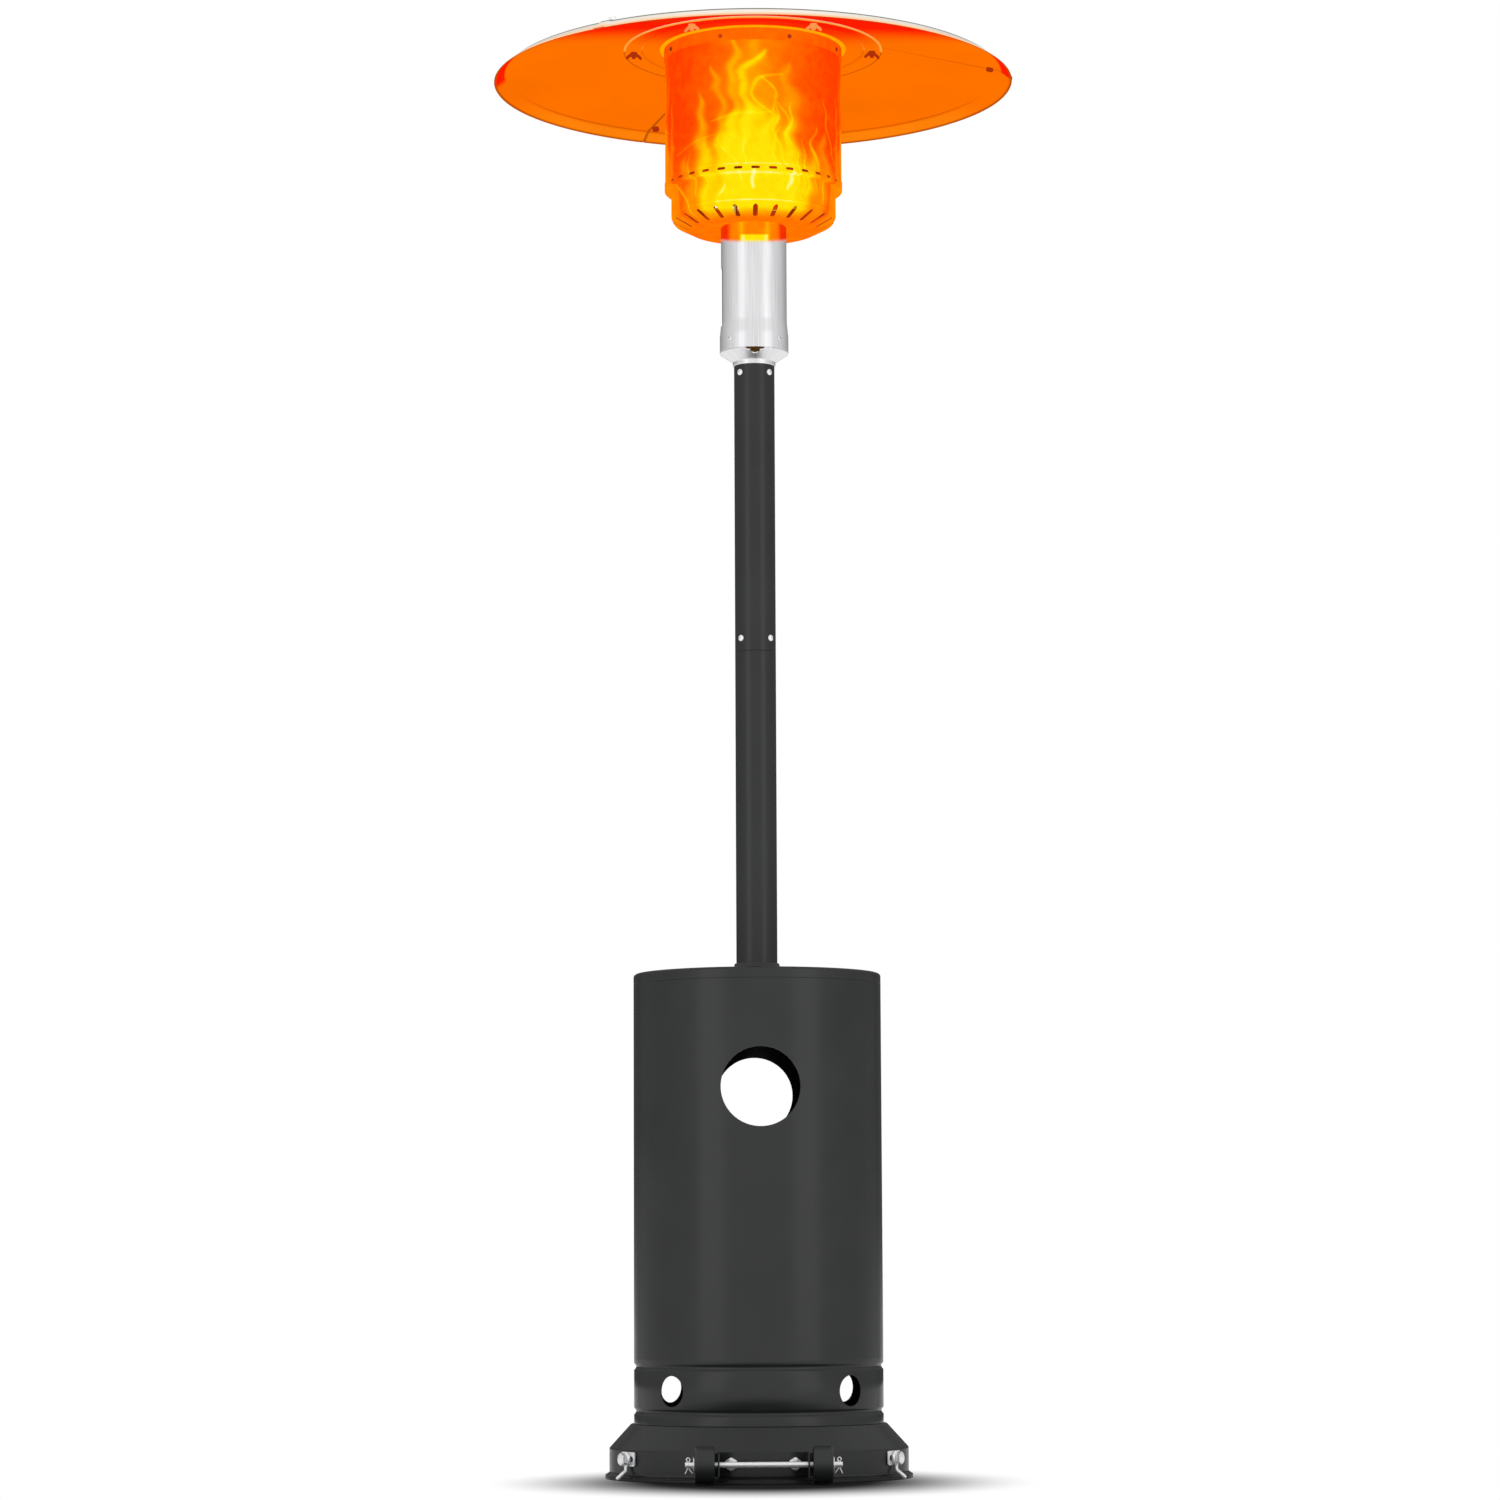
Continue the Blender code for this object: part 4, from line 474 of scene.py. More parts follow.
def sheet_aluminium():
    """Mill-finish aluminium sheet: rolling lines about 3 mm apart and cloudy patches about 80 mm across,
    with painted shade in the pressed fold where its fold attribute says so, and lit amber where the hem_glow
    attribute does."""
    finish, tree, shader, place = new_finish("mill_aluminium", Metallic=1.0, Roughness=0.34,
                                             Emission_Strength=1.0)
    cloud = grained(tree, place, 12, 3)
    lines = grained(tree, place, 300, 2, (0.02, 1, 1))
    dull = add_node(tree, "MapRange", {"To Min": 0.26, "To Max": 0.42}, {"Value": lines})
    fold, hem = (add_node(tree, "Attribute", {"attribute_name": name}, output="Fac")
                 for name in ("fold_line", "hem_glow"))
    sheet = add_node(tree, "ValToRGB", {"stops": [(0.3, "F5EFE2"), (0.7, "FEF9EE")]}, {"Fac": cloud})
    # Painted shade in the pressed fold: the sheet's colour goes to 6E6C62 there
    for share, code in ((fold, "6E6C62"), (hem, "2A1608")):
        sheet = add_node(tree, "Mix", {"data_type": "RGBA", 7: linear(code)}, {0: share, 6: sheet}, 2)
    glow = add_node(tree, "Mix", {"data_type": "RGBA", 6: BLACK, 7: linear("FFBE85")}, {0: hem}, 2)
    feed(tree, shader, Roughness=dull, Base_Color=sheet, Emission_Color=glow)
    return finish


def scaled_steel():
    """The dull inside of the burner: heat-scaled steel, brown to black, glowing a dark red in
    patches about 35 mm across."""
    finish, tree, shader, place = new_finish("heat_scaled_steel", Roughness=0.8, Specular_IOR_Level=0.1,
                                             Emission_Strength=1.0)
    follow(tree, shader, grained(tree, place, 140, 4), [(0.3, "2C140C"), (0.7, "44200F")])
    embers = add_node(tree, "ValToRGB", {"stops": [(0.36, "7C2206"), (0.62, "D03A08")]},
                      {"Fac": grained(tree, place, 28, 2)})
    feed(tree, shader, Emission_Color=embers)
    return finish


FLAME_STOPS = [(0.0, "EE2600"), (0.15, "FF4200"), (0.32, "FF6A00"), (0.46, "FF8A00"), (0.6, "FFAA00"),
               (0.75, "FFD400"), (0.88, "FFEC0C"), (1.0, "FFFA9C")]
BLACK, WHITE = (0, 0, 0, 1), (1, 1, 1, 1)
SOOT = linear("1C0600")
LIT = {"Roughness": 0.6, "Specular_IOR_Level": 0.0, "Emission_Strength": 1.0, "Base_Color": SOOT}


def glowing_steel(name, fades=False):
    """Stainless steel at full burn: the glow_level attribute, 0 to 1, says which flame colour it glows in,
    with a mottle of oxide about 15 mm across. Where it fades, the lit attribute mixes in brushed steel;
    there, on the neck, the glow is a painted reflection of the flames."""
    finish, tree, shader, place = new_finish(name, **LIT)
    heat = add_node(tree, "Attribute", {"attribute_name": "glow_level"}, output="Fac")
    mottle = add_node(tree, "MapRange", {"From Min": 0.3, "From Max": 0.7, "To Min": -0.035, "To Max": 0.035},
                      {"Value": grained(tree, place, 65, 3)})
    warm = add_node(tree, "Math", {"operation": "ADD"}, {0: heat, 1: mottle})
    glow = add_node(tree, "ValToRGB", {"stops": FLAME_STOPS}, {"Fac": warm})
    if fades:
        share = add_node(tree, "Attribute", {"attribute_name": "lit"}, output="Fac")
        steel = follow(tree, shader, streaks(tree, place), STEEL_TONES, STEEL_ROUGHNESS)
        soot = add_node(tree, "Mix", {"data_type": "RGBA", 7: SOOT}, {0: share, 6: steel}, 2)
        glow = add_node(tree, "Mix", {"data_type": "RGBA", 6: BLACK}, {0: share, 7: glow}, 2)
        metal = add_node(tree, "MapRange", {"To Min": 1.0, "To Max": 0.0}, {"Value": share})
        feed(tree, shader, Base_Color=soot, Metallic=metal)
    feed(tree, shader, Emission_Color=glow)
    return finish


def fire_lit_metal():
    """Metal that only the flames light: its colour comes from the glow attribute, broken up by soft clouds
    about 200 mm across and rolling lines 3 mm apart."""
    finish, tree, shader, place = new_finish("fire_lit_metal", **LIT)
    clouds, lines = (
        add_node(tree, "MapRange", {"From Min": 0.3, "From Max": 0.7, "To Min": low, "To Max": high},
                 {"Value": grained(tree, place, waves, detail, stretch)})
        for waves, detail, stretch, low, high in ((5, 2, (1, 1, 1), 0.94, 1.04),
                                                  (320, 1, (0.05, 1, 1), -0.02, 0.02)))
    shade = add_node(tree, "Math", {"operation": "ADD"}, {0: clouds, 1: lines})
    glow = add_node(tree, "Attribute", {"attribute_name": "glow"}, output="Color")
    lit = add_node(tree, "VectorMath", {"operation": "SCALE"}, {0: glow, "Scale": shade})
    feed(tree, shader, Emission_Color=lit)
    return finish


COAT = powder_coat()
STEEL = brushed_steel()
# Zinc plating on steel: a slightly blue white metal with a faint mottle about 4 mm across
ZINC = patchy_finish("bright_zinc_plate", 260, 3, [(0.3, "ECEDEF"), (0.7, "FBFBFC")], (0.22, 0.4),
                     Metallic=0.55, Roughness=0.32)
ALUMINIUM = sheet_aluminium()
# Moulded plastic with a fine spark-eroded grain about 0.8 mm across
PLASTIC = patchy_finish("black_moulded_plastic", 1200, 2, [(0.3, "1B1C1C"), (0.7, "262828")], (0.42, 0.58),
                        (0.15, 0.0003), Roughness=0.5, IOR=1.49)
# Machined brass, gone slightly brown in patches about 17 mm across
BRASS = patchy_finish("machined_brass", 60, 3, [(0.3, "A9833F"), (0.7, "D6B566")], (0.25, 0.42),
                      Metallic=1.0, Roughness=0.3)
# Glazed alumina insulator with a few smoky stains
CERAMIC = patchy_finish("glazed_ceramic", 90, 3, [(0.3, "B9B2A6"), (0.6, "EDEAE2")], Roughness=0.2, IOR=1.6)
SCALED = scaled_steel()
GLOWING = glowing_steel("glowing_stainless_steel")
# Brushed steel whose top glows with a painted reflection of the flames
NECK_WITH_PAINTED_REFLECTION = glowing_steel("neck_steel_lit_at_the_top", True)
FIRE_LIT = fire_lit_metal()
SLOTS = {COAT: "charcoal_coat", PLASTIC: "black_plastic", ALUMINIUM: "aluminium",
         **dict.fromkeys((ZINC, SCALED, FIRE_LIT), "zinc"),
         **dict.fromkeys((STEEL, NECK_WITH_PAINTED_REFLECTION, GLOWING), "bright_steel")}


# Base

def base():
    """Foot plate, pressed cover with a flared foot, shoulder and flat top."""
    put("base_foot", lathe(rounded([
        (0, 0), (BASE_RADIUS, 0, 0.8), (BASE_RADIUS, BASE_PLATE, 0.8), (0, BASE_PLATE)])),
        COAT, ["base_plate"])
    sheet, foot, flare, inside = COVER_SHEET, COVER_FOOT, COVER_FOOT + 5 * MM, SKIRT_RADIUS - COVER_SHEET
    put("base_shell", lathe(rounded([
        (0, BASE_TOP_HEIGHT), (BASE_TOP_RADIUS, BASE_TOP_HEIGHT, 4),
        (SKIRT_RADIUS, SHOULDER_HEIGHT, 4), (SKIRT_RADIUS, flare, 3),
        (BASE_RADIUS, foot + 0.9 * MM, 0.3), (BASE_RADIUS, foot), (BASE_RADIUS - sheet, foot),
        (inside, flare - sheet / 2), (inside, SHOULDER_HEIGHT - sheet / 2),
        (BASE_TOP_RADIUS - sheet / 2, BASE_TOP_HEIGHT - sheet),
        (0, BASE_TOP_HEIGHT - sheet)])), COAT, ["base_cover"])


def bead(height, steps=10):
    """A groove rolled into the sheet: depth * cos^1.2 of the share of its half width, from the top down."""
    share = np.linspace(1, -1, steps + 1)
    depth = 3.3 * MM * np.cos(share * np.pi / 2) ** 1.2
    return np.column_stack((HOUSING_RADIUS - depth, height + share * 5.5 * MM))


def housing():
    """The gas bottle housing with its beads and holes, the lid and the bush."""
    plain_rows, upper_bead, lower_bead = (HOUSING_TOP, 0.66, 0.51, 0.18), 0.168, 0.101
    outer = np.concatenate(([[HOUSING_RADIUS, up] for up in plain_rows], bead(upper_bead),
                            bead(lower_bead), [[HOUSING_RADIUS, HOUSING_FOOT]]))
    inner = outer[::-1] - [HOUSING_SHEET, 0]
    shell = lathe(np.concatenate((outer, inner)))
    reach, access_radius, access_height, vent_radius, vent_height = 0.2, 0.0596, 0.585, 0.023, 0.133
    shell = carved(shell, placed(rod(access_radius, -reach, reach, 96), radial(NEAR, access_height)))
    for turn in (45, 135):
        shell = carved(shell, placed(rod(vent_radius, -reach, reach, 64), radial(turn, vent_height)))
    put("housing_shell", shell, COAT, ["tank_housing"], "housing")
    spigot, foot, under = HOUSING_RADIUS - HOUSING_SHEET - GAP, LID_FOOT - 12 * MM, LID_TOP - HOUSING_SHEET
    lid_hole, bush_radius, bush_collar = 0.0375, 0.0372, 0.0405
    put("lid_shell", lathe(rounded([
        (lid_hole, LID_TOP), (HOUSING_RADIUS, LID_TOP, 5), (HOUSING_RADIUS, LID_FOOT, 0.6),
        (spigot, LID_FOOT), (spigot, foot), (spigot - HOUSING_SHEET, foot),
        (spigot - HOUSING_SHEET, under), (lid_hole, under)], 8)), COAT, ["housing_lid"], "housing")
    bore, top, shoulder, end = POLE_RADIUS + 1.2 * MM, LID_TOP + 16.2 * MM, LID_TOP + 3 * MM, under - 6 * MM
    put("pole_bush", lathe(rounded([
        (bore, top, 0.5), (bore + 1.5 * MM, top, 0.6), (bush_radius, shoulder, 1),
        (bush_collar, shoulder, 0.8), (bush_collar, LID_TOP + GAP), (bush_radius, LID_TOP + GAP),
        (bush_radius, under - GAP), (bush_collar, under - GAP), (bush_collar, end, 0.6),
        (bore, end, 0.6)]), TURNED), PLASTIC, ["lid_bush"], "housing")


def pole():
    """Two pole sections with the lower one's swaged end, and the screws that hold them."""
    inside = POLE_RADIUS - TUBE_WALL
    put("lower_pole_tube", lathe(rounded([
        (POLE_RADIUS, POLE_FOOT), (POLE_RADIUS, POLE_SEAM, 0.5), (SWAGE_RADIUS, POLE_SEAM, 0.3),
        (SWAGE_RADIUS, POLE_SEAM + 50 * MM, 0.6), (SWAGE_RADIUS - TUBE_WALL, POLE_SEAM + 50 * MM),
        (SWAGE_RADIUS - TUBE_WALL, POLE_SEAM - 1 * MM), (inside, POLE_SEAM - 4 * MM),
        (inside, POLE_FOOT)]), TURNED), COAT, ["lower_pole"])
    put("upper_pole_tube", lathe(rounded([
        (POLE_RADIUS, POLE_SEAM + GAP, 0.5), (POLE_RADIUS, POLE_TOP, 0.5), (inside, POLE_TOP),
        (inside, POLE_SEAM + GAP)]), TURNED), COAT, ["upper_pole"])
    screw = pan_head(4.9 * MM, 3.4 * MM)
    screwed_round("pole_joint_screws", screw, ZINC, POLE_SEAM + 20 * MM, POLE_RADIUS)
    screwed_round("pole_top_screws", screw, ZINC, POLE_TOP - 12 * MM, POLE_RADIUS)


HEX_M10 = (9.8 * MM, 6.8 * MM)                # corner radius and height of the head and of the nut


def anchors():
    """Three zinc plates on the skirt, each with a bent hook that swings on a hex bolt."""
    through = 10 * MM
    bolt_hole, side_hole = (rod(radius, -through, through, 32) for radius in (5.4 * MM, 4.5 * MM))
    half_long, half_high, corner = 19 * MM, 10.5 * MM, 2.5 * MM
    quarter = np.radians(np.linspace(0, 90, 6))
    outline = np.concatenate([
        [x * (half_long - corner), y * (half_high - corner)] + arc(corner, quarter + start)
        for x, y, start in ((1, 1, 0), (-1, 1, np.pi / 2), (-1, -1, np.pi), (1, -1, 1.5 * np.pi))])
    plate = prism(outline, -1.25 * MM, 1.25 * MM, 0.3 * MM)
    for offset, tool in ((0, bolt_hole), (-10.7 * MM, side_hole), (10.7 * MM, side_hole)):
        plate = carved(plate, placed(tool, Matrix.Translation((offset, 0, 0))))
    wire_radius, eye = 2.75 * MM, 8.15 * MM
    loop = np.radians(np.linspace(-40, 225, 25))
    ring = np.column_stack((arc(eye, loop), 0 * loop))
    stem = rounded_path([(0, -9 * MM, 0), (0, -17 * MM, 0), (0, -27.9 * MM, 14.3 * MM)], 5 * MM)
    hook = joined([wire(np.concatenate((ring, [(0, -10.9 * MM, 0)])), (0, 0, 1), wire_radius),
                   wire(stem, (1, 0, 0), wire_radius)])
    bolt = joined([hexagon_head(*HEX_M10, GAP), rod(5 * MM, GAP, -14 * MM, 32), hexagon_head(*HEX_M10)],
                  [along_z(0), along_z(0), along_z(-22 * MM)])
    height, plate_out, hook_out, head_out = 0.033, 0.22855, 0.23285, 0.2356
    for side, turn in {"left": -150, "right": -30, "far": 90}.items():
        put(f"anchor_strap_{side}", placed(plate, radial(turn, height, plate_out)), ZINC,
            [f"anchor_plate_{side}"])
        put(f"swing_hook_{side}", placed(hook, radial(turn, height, hook_out)), ZINC,
            [f"anchor_hook_{side}"], f"{side}_hook")
        put(f"hook_bolt_{side}", placed(bolt, radial(turn, height, head_out)), ZINC,
            [f"anchor_bolt_{side}"])


def wheels():
    """The bracket on the skirt, its bolts, the axle and everything on it."""
    axle_y, axle_z, half_high, bolt_side = -0.26, 0.0293, 17.3 * MM, 46 * MM
    seat, sheet, half, reach = SKIRT_RADIUS + GAP, 2.5 * MM, 67.3 * MM, 0.2725
    outside, ear_in = seat + sheet, half - sheet
    back, front = math.asin(half / seat), math.asin(ear_in / outside)
    outline = np.concatenate((
        arc(seat, -np.pi / 2 + np.linspace(-back, back, 31)), [(half, -reach), (ear_in, -reach)],
        arc(outside, -np.pi / 2 + np.linspace(front, -front, 31)), [(-ear_in, -reach), (-half, -reach)]))
    bracket = prism(outline, axle_z - half_high, axle_z + half_high)
    middle = Matrix.Translation((0, axle_y, axle_z))
    bracket = carved(bracket, placed(rod(4.7 * MM, -80 * MM, 80 * MM, 32), middle @ OUTWARDS))
    piece = put("wheel_channel", bracket, COAT, ["wheel_bracket"])
    edge = piece.modifiers.new("edge", "BEVEL")
    edge.width, edge.segments, edge.limit_method = 0.4 * MM, 2, "ANGLE"
    swing = math.degrees(math.asin(bolt_side / outside))
    for side, sign in (("left", -1), ("right", 1)):
        place = radial(NEAR + sign * swing, axle_z, outside)
        bolt = joined([hexagon_head(*HEX_M10, GAP), hexagon_head(*HEX_M10)],
                      [place, place @ along_z(-12.6 * MM)])
        put(f"channel_bolt_{side}", bolt, ZINC, [f"bracket_bolt_{side}"])
    axle, end, edge = 4.4 * MM, 115.2 * MM, 0.6
    pin = lathe(rounded([(0, -end), (axle, -end, edge), (axle, end, edge), (0, end)]), 48)
    put("axle_rod", placed(pin, middle @ OUTWARDS), ZINC, ["axle"])
    tyre, wide, bore, hub, web = 27.3 * MM, 14.6 * MM, 4.8 * MM, 10.5 * MM, 6.6 * MM
    side = [(tyre, wide, 3), (tyre - 5.5 * MM, wide, 0.5), (tyre - 6 * MM, web, 1), (hub, web, 1),
            (hub, wide, 0.6), (bore, wide)]
    wheel = lathe(rounded([(out, -up, *bend) for out, up, *bend in side] + side[::-1], 4), 96)
    rim, thick = 11.8 * MM, 1.8 * MM
    washer = lathe(rounded([(bore, 0), (rim, 0, 0.3), (rim, thick, 0.5), (bore, thick)], 3), 48)
    leg, eye, wire_radius, bend, end = 1.05 * MM, 2.6 * MM, 0.9 * MM, -5.3 * MM, -12.5 * MM
    loop = np.radians(np.linspace(240, -60, 21))
    ring = np.insert(arc(eye, loop) + [0, axle + eye + wire_radius], 1, 0, axis=1)
    left = [(-6.2 * MM, 0, end), (-leg, 0, bend), (-leg, 0, axle)]
    right = [(leg, 0, axle), (leg, 0, bend), (4.2 * MM, 0, end)]
    cotter = wire(np.concatenate((left, ring, right)), (0, 1, 0), wire_radius, 10)
    for side, sign in (("left", -1), ("right", 1)):
        place = middle @ about_z(90 - 90 * sign)
        wheel_at, washer_at, pin_at = (place @ Matrix.Translation((out * MM, 0, 0)) for out in (
            86.6, 101.5, 110.5))
        put(f"tyre_{side}", placed(wheel, wheel_at @ OUTWARDS), PLASTIC, [f"wheel_{side}"],
            f"{side}_wheel")
        put(f"thrust_washer_{side}", placed(washer, washer_at @ OUTWARDS), ZINC, [f"axle_washer_{side}"])
        put(f"split_pin_{side}", placed(cotter, pin_at), ZINC, [f"cotter_pin_{side}"])


def neck():
    """The cup on the pole, the bright tube with its control window, the panel and the knob."""
    thin, sheet = 1.2 * MM, TUBE_WALL
    wall, collar, inside = CUP_RADIUS - thin - GAP, 33.2 * MM, SWAGE_RADIUS - sheet
    top, low, high, foot = CUP_RIM + 23.5 * MM, CUP_CONE_FOOT - sheet, CUP_RIM + 7 * MM, CUP_SEAT - 46 * MM
    cup = lathe(rounded([
        (wall, top), (wall, CUP_RIM + sheet), (CUP_RADIUS, CUP_RIM + sheet, 0.3),
        (CUP_RADIUS, CUP_RIM, 0.6), (collar, CUP_CONE_FOOT, 1.5), (collar, CUP_SEAT, 0.8),
        (SWAGE_RADIUS, CUP_SEAT), (SWAGE_RADIUS, foot), (inside, foot), (inside, low),
        (wall - sheet, CUP_RIM - 0.2 * MM), (wall - sheet, top)]), TURNED)
    wide, front, rear = 53.5 * MM, -63.5 * MM, -48.5 * MM
    mouth = prism([(-wide, front), (wide, front), (wide, rear), (-wide, rear)], low, high)
    notch = placed(rod(7.8 * MM, low, high, 48), Matrix.Translation((0, -50.8 * MM, 0)))
    put("neck_base_cup", carved(carved(cup, mouth), notch), STEEL, ["neck_cup"])
    flare, inside = NECK_FOOT + 28.5 * MM, NECK_RADIUS - thin
    lit = [(NECK_RADIUS, NECK_TOP - MM * step) for step in range(2, 46)]
    tube = lathe(rounded([
        (NECK_RADIUS, NECK_TOP, 0.5), *lit, (NECK_RADIUS, flare + 18 * MM, 60),
        (CUP_RADIUS, flare - 4 * MM, 60), (CUP_RADIUS, NECK_FOOT, 0.8),
        (CUP_RADIUS - thin, NECK_FOOT), (CUP_RADIUS - thin, flare, 3),
        (inside, flare + 6 * MM, 3), (inside, NECK_TOP)]), TURNED)
    side = 65 * MM
    window = prism([(-1.8 * MM, -side), (side, -side), (side, side), (-1.8 * MM, side)],
                   WINDOW_FOOT, WINDOW_FOOT + WINDOW_HEIGHT)
    tube = carved(tube, placed(window, about_z(PANEL_TURN)))
    tube = stored(stored(tube, "glow_level", neck_painted_reflection), "lit", neck_lit)
    put("neck_sleeve", tube, NECK_WITH_PAINTED_REFLECTION, ["neck_tube"])
    screw_height = 1.75
    screwed_round("neck_screws", pan_head(3.8 * MM, 2.2 * MM), STEEL, screw_height, CUP_RADIUS)
    panel_radius = inside - GAP
    low, high = WINDOW_FOOT - 6 * MM, WINDOW_FOOT + 98 * MM
    panel = swept([(panel_radius, low), (panel_radius, high), (panel_radius - thin, high),
                   (panel_radius - thin, low)], PANEL_TURN - 105, PANEL_TURN + 105, 70)
    put("control_face", panel, PLASTIC, ["control_panel"])
    back = panel_radius + 7.8 * MM
    knob_turn = np.linspace(0, 2 * np.pi, 96, endpoint=False)
    rows = np.array([(0, 15.5), (3.9, 15.5), (3.9, 7.5), (12.5, 7.5), (12.5, 0), (18.4, 0), (19, 0.6),
                     (18.2, 19.5), (16.8, 21.6), (15, 22), (0, 22)]) * MM
    ripple = np.where((rows[:, 1] < 20 * MM) & (rows[:, 0] > 17 * MM), 0.35 * MM, 0)
    out = rows[:, 0] - ripple * (0.5 - 0.5 * np.cos(24 * knob_turn[:, None]))
    knob = grid_mesh(turned(np.stack((out, back + rows[:, 1] + 0 * out), -1), knob_turn), wrap_columns=False)
    grip_outline = np.array([(-15.5, -2.2), (-12, -3), (12, -3), (15.5, -2.2), (16.6, 0), (15.5, 2.2),
                             (12, 3), (-12, 3), (-15.5, 2.2), (-16.6, 0)]) * MM
    grip = prism(grip_outline, back + 20 * MM, back + 28 * MM, 0.8 * MM)
    put("gas_knob", placed(joined([knob, grip]), radial(PANEL_TURN, VALVE_HEIGHT)), PLASTIC,
        ["control_knob"], "knob")


def slotted(mesh, tool, places):
    """The mesh with a copy of the tool cut out at each place."""
    return carved(mesh, joined([tool] * len(places), places))


def slot_tool(length, width, depth):
    """A slot with round ends, its length along X, centred on the origin."""
    turn = np.radians(np.linspace(-90, 90, 9))
    straight = (length - width) / 2
    right = [straight, 0] + arc(width / 2, turn)
    return prism(np.concatenate((right, -right)), -depth, depth)


def paint_inside(mesh, limit):
    """Gives the second material to the faces that the limit picks by radius, height and the outward, upward
    and sideways parts of their normals."""
    count = len(mesh.polygons)
    centre, normal = np.zeros(count * 3, np.float32), np.zeros(count * 3, np.float32)
    mesh.polygons.foreach_get("center", centre)
    mesh.polygons.foreach_get("normal", normal)
    centre, normal = centre.reshape(-1, 3), normal.reshape(-1, 3)
    out = np.hypot(centre[:, 0], centre[:, 1])
    facing = (centre[:, :2] * normal[:, :2]).sum(1) / np.maximum(out, 1e-9)
    spin = (centre[:, 0] * normal[:, 1] - centre[:, 1] * normal[:, 0]) / np.maximum(out, 1e-9)
    inside = limit(out, centre[:, 2], facing, normal[:, 2], spin)
    mesh.polygons.foreach_set("material_index", inside.astype(np.int32))


def burner():
    """The slotted bowl, the slotted ring, the emitter screen and its top ring with its screws."""
    sheet, under, dip = 1.2 * MM, BOWL_UNDER, BOWL_UNDER - 5.6 * MM
    inlet, floor, valley = 0.021, 0.0542, 0.098
    band = [(BOWL_RADIUS, up) for up in np.arange(BOWL_TOP - 1.2 * MM, under + 22.5 * MM, -1.4 * MM)]
    bowl = lathe(rounded([
        (BOWL_RADIUS, BOWL_TOP), *band,
        (BOWL_RADIUS, under + 15.9 * MM, 8),
        (0.1245, under + 7.9 * MM, 6),
        (valley, dip, 6),
        (floor, under, 4), (inlet, under), (inlet, under + sheet), (floor, under + sheet, 3),
        (valley, dip + sheet, 5),
        (0.1237, under + 8.6 * MM, 5),
        (BOWL_RADIUS - sheet, under + 16.2 * MM, 7),
        (BOWL_RADIUS - sheet, BOWL_TOP)]), FINE)
    slots_out, slot_count, ring_slot_count = 0.1125, 24, 32
    bowl = slotted(bowl, slot_tool(26 * MM, 7.6 * MM, 30 * MM),
                   [upright(turn, under, slots_out) for turn in turns(slot_count, NEAR)])
    ring_out, ring_in, shelf = SCREEN_RADIUS + 1 * MM, SCREEN_RADIUS - sheet, BOWL_RADIUS - 2.2 * MM
    low, top = RING_FOOT + sheet, RING_FOOT + RING_HEIGHT
    ring = lathe(rounded([
        (ring_out, top, 0.4), (ring_out, top - 2.2 * MM), (ring_out, RING_FOOT + 2.8 * MM),
        (ring_out, RING_FOOT, 1), (shelf, RING_FOOT), (shelf, low), (ring_in, low),
        (ring_in, top)]), FINE)
    ring = slotted(ring, placed(slot_tool(13.5 * MM, 4.5 * MM, 10 * MM), OUTWARDS),
                   [upright(turn, RING_FOOT + 6.5 * MM, ring_out) for turn in turns(ring_slot_count, NEAR)])
    screen = lathe([(SCREEN_RADIUS, up) for up in np.linspace(SCREEN_TOP, SCREEN_FOOT, 131)]
                   + [(ring_in, SCREEN_FOOT), (ring_in, SCREEN_TOP)], FINE)
    for name, mesh, node, floor_from, slot in (
            ("slotted_bowl", bowl, "burner_bowl", 0.03, None), ("slotted_ring", ring, "screen_ring", 0, None),
            ("emitter_cylinder", screen, "emitter_screen", math.inf, "hot_screen")):
        paint_inside(mesh, lambda out, up, facing, tilt, spin: (facing < -0.3) | (
            (tilt > 0.5) & (out > floor_from)))
        put(name, stored(mesh, "glow_level", flame_heat), [GLOWING, SCALED], [node])
    bore, collar = SCREEN_RADIUS + GAP, SCREEN_RADIUS + GAP + sheet
    flange, foot = collar + 6.5 * MM, TOP_RING_UNDER - 18 * MM
    top_ring = lathe(rounded([
        (flange, TOP_RING_UNDER + sheet, 0.4), (flange, TOP_RING_UNDER, 0.4),
        (collar, TOP_RING_UNDER, 1), (collar, foot, 0.3), (bore, foot),
        (bore, TOP_RING_UNDER + sheet)]), FINE)
    put("emitter_top_ring", stored(top_ring, "glow_level", flame_heat), GLOWING, ["screen_top_ring"])
    screw_height = 2.2045
    screwed_round("screen_screws", pan_head(3.4 * MM, 2 * MM), SCALED, screw_height, collar, 8, 22.5, 0)


def stored(mesh, name, formula):
    """Stores a value or a linear colour at every point of the mesh, from its place."""
    place = np.zeros(len(mesh.vertices) * 3, np.float32)
    mesh.vertices.foreach_get("co", place)
    value = formula(*place.reshape(-1, 3).astype(float).T)
    if value.ndim == 1:
        mesh.attributes.new(name, "FLOAT", "POINT").data.foreach_set("value", value.astype(np.float32))
    else:
        value = np.column_stack((value, np.ones(len(value)))).astype(np.float32)
        mesh.attributes.new(name, "FLOAT_COLOR", "POINT").data.foreach_set("color", value.ravel())
    return mesh


def smooth(share):
    """0 below 0, 1 above 1 and 3 s^2 - 2 s^3 between."""
    share = np.clip(share, 0, 1)
    return share * share * (3 - 2 * share)


HALF_FAN = 92                 # degrees from the middle of a fan of flames to its edge
FLAME_FOOT = 1.95
BOWL_EDGE = 1.948             # where the bowl's wall bends in
NECK_GLOW_FOOT = 1.9
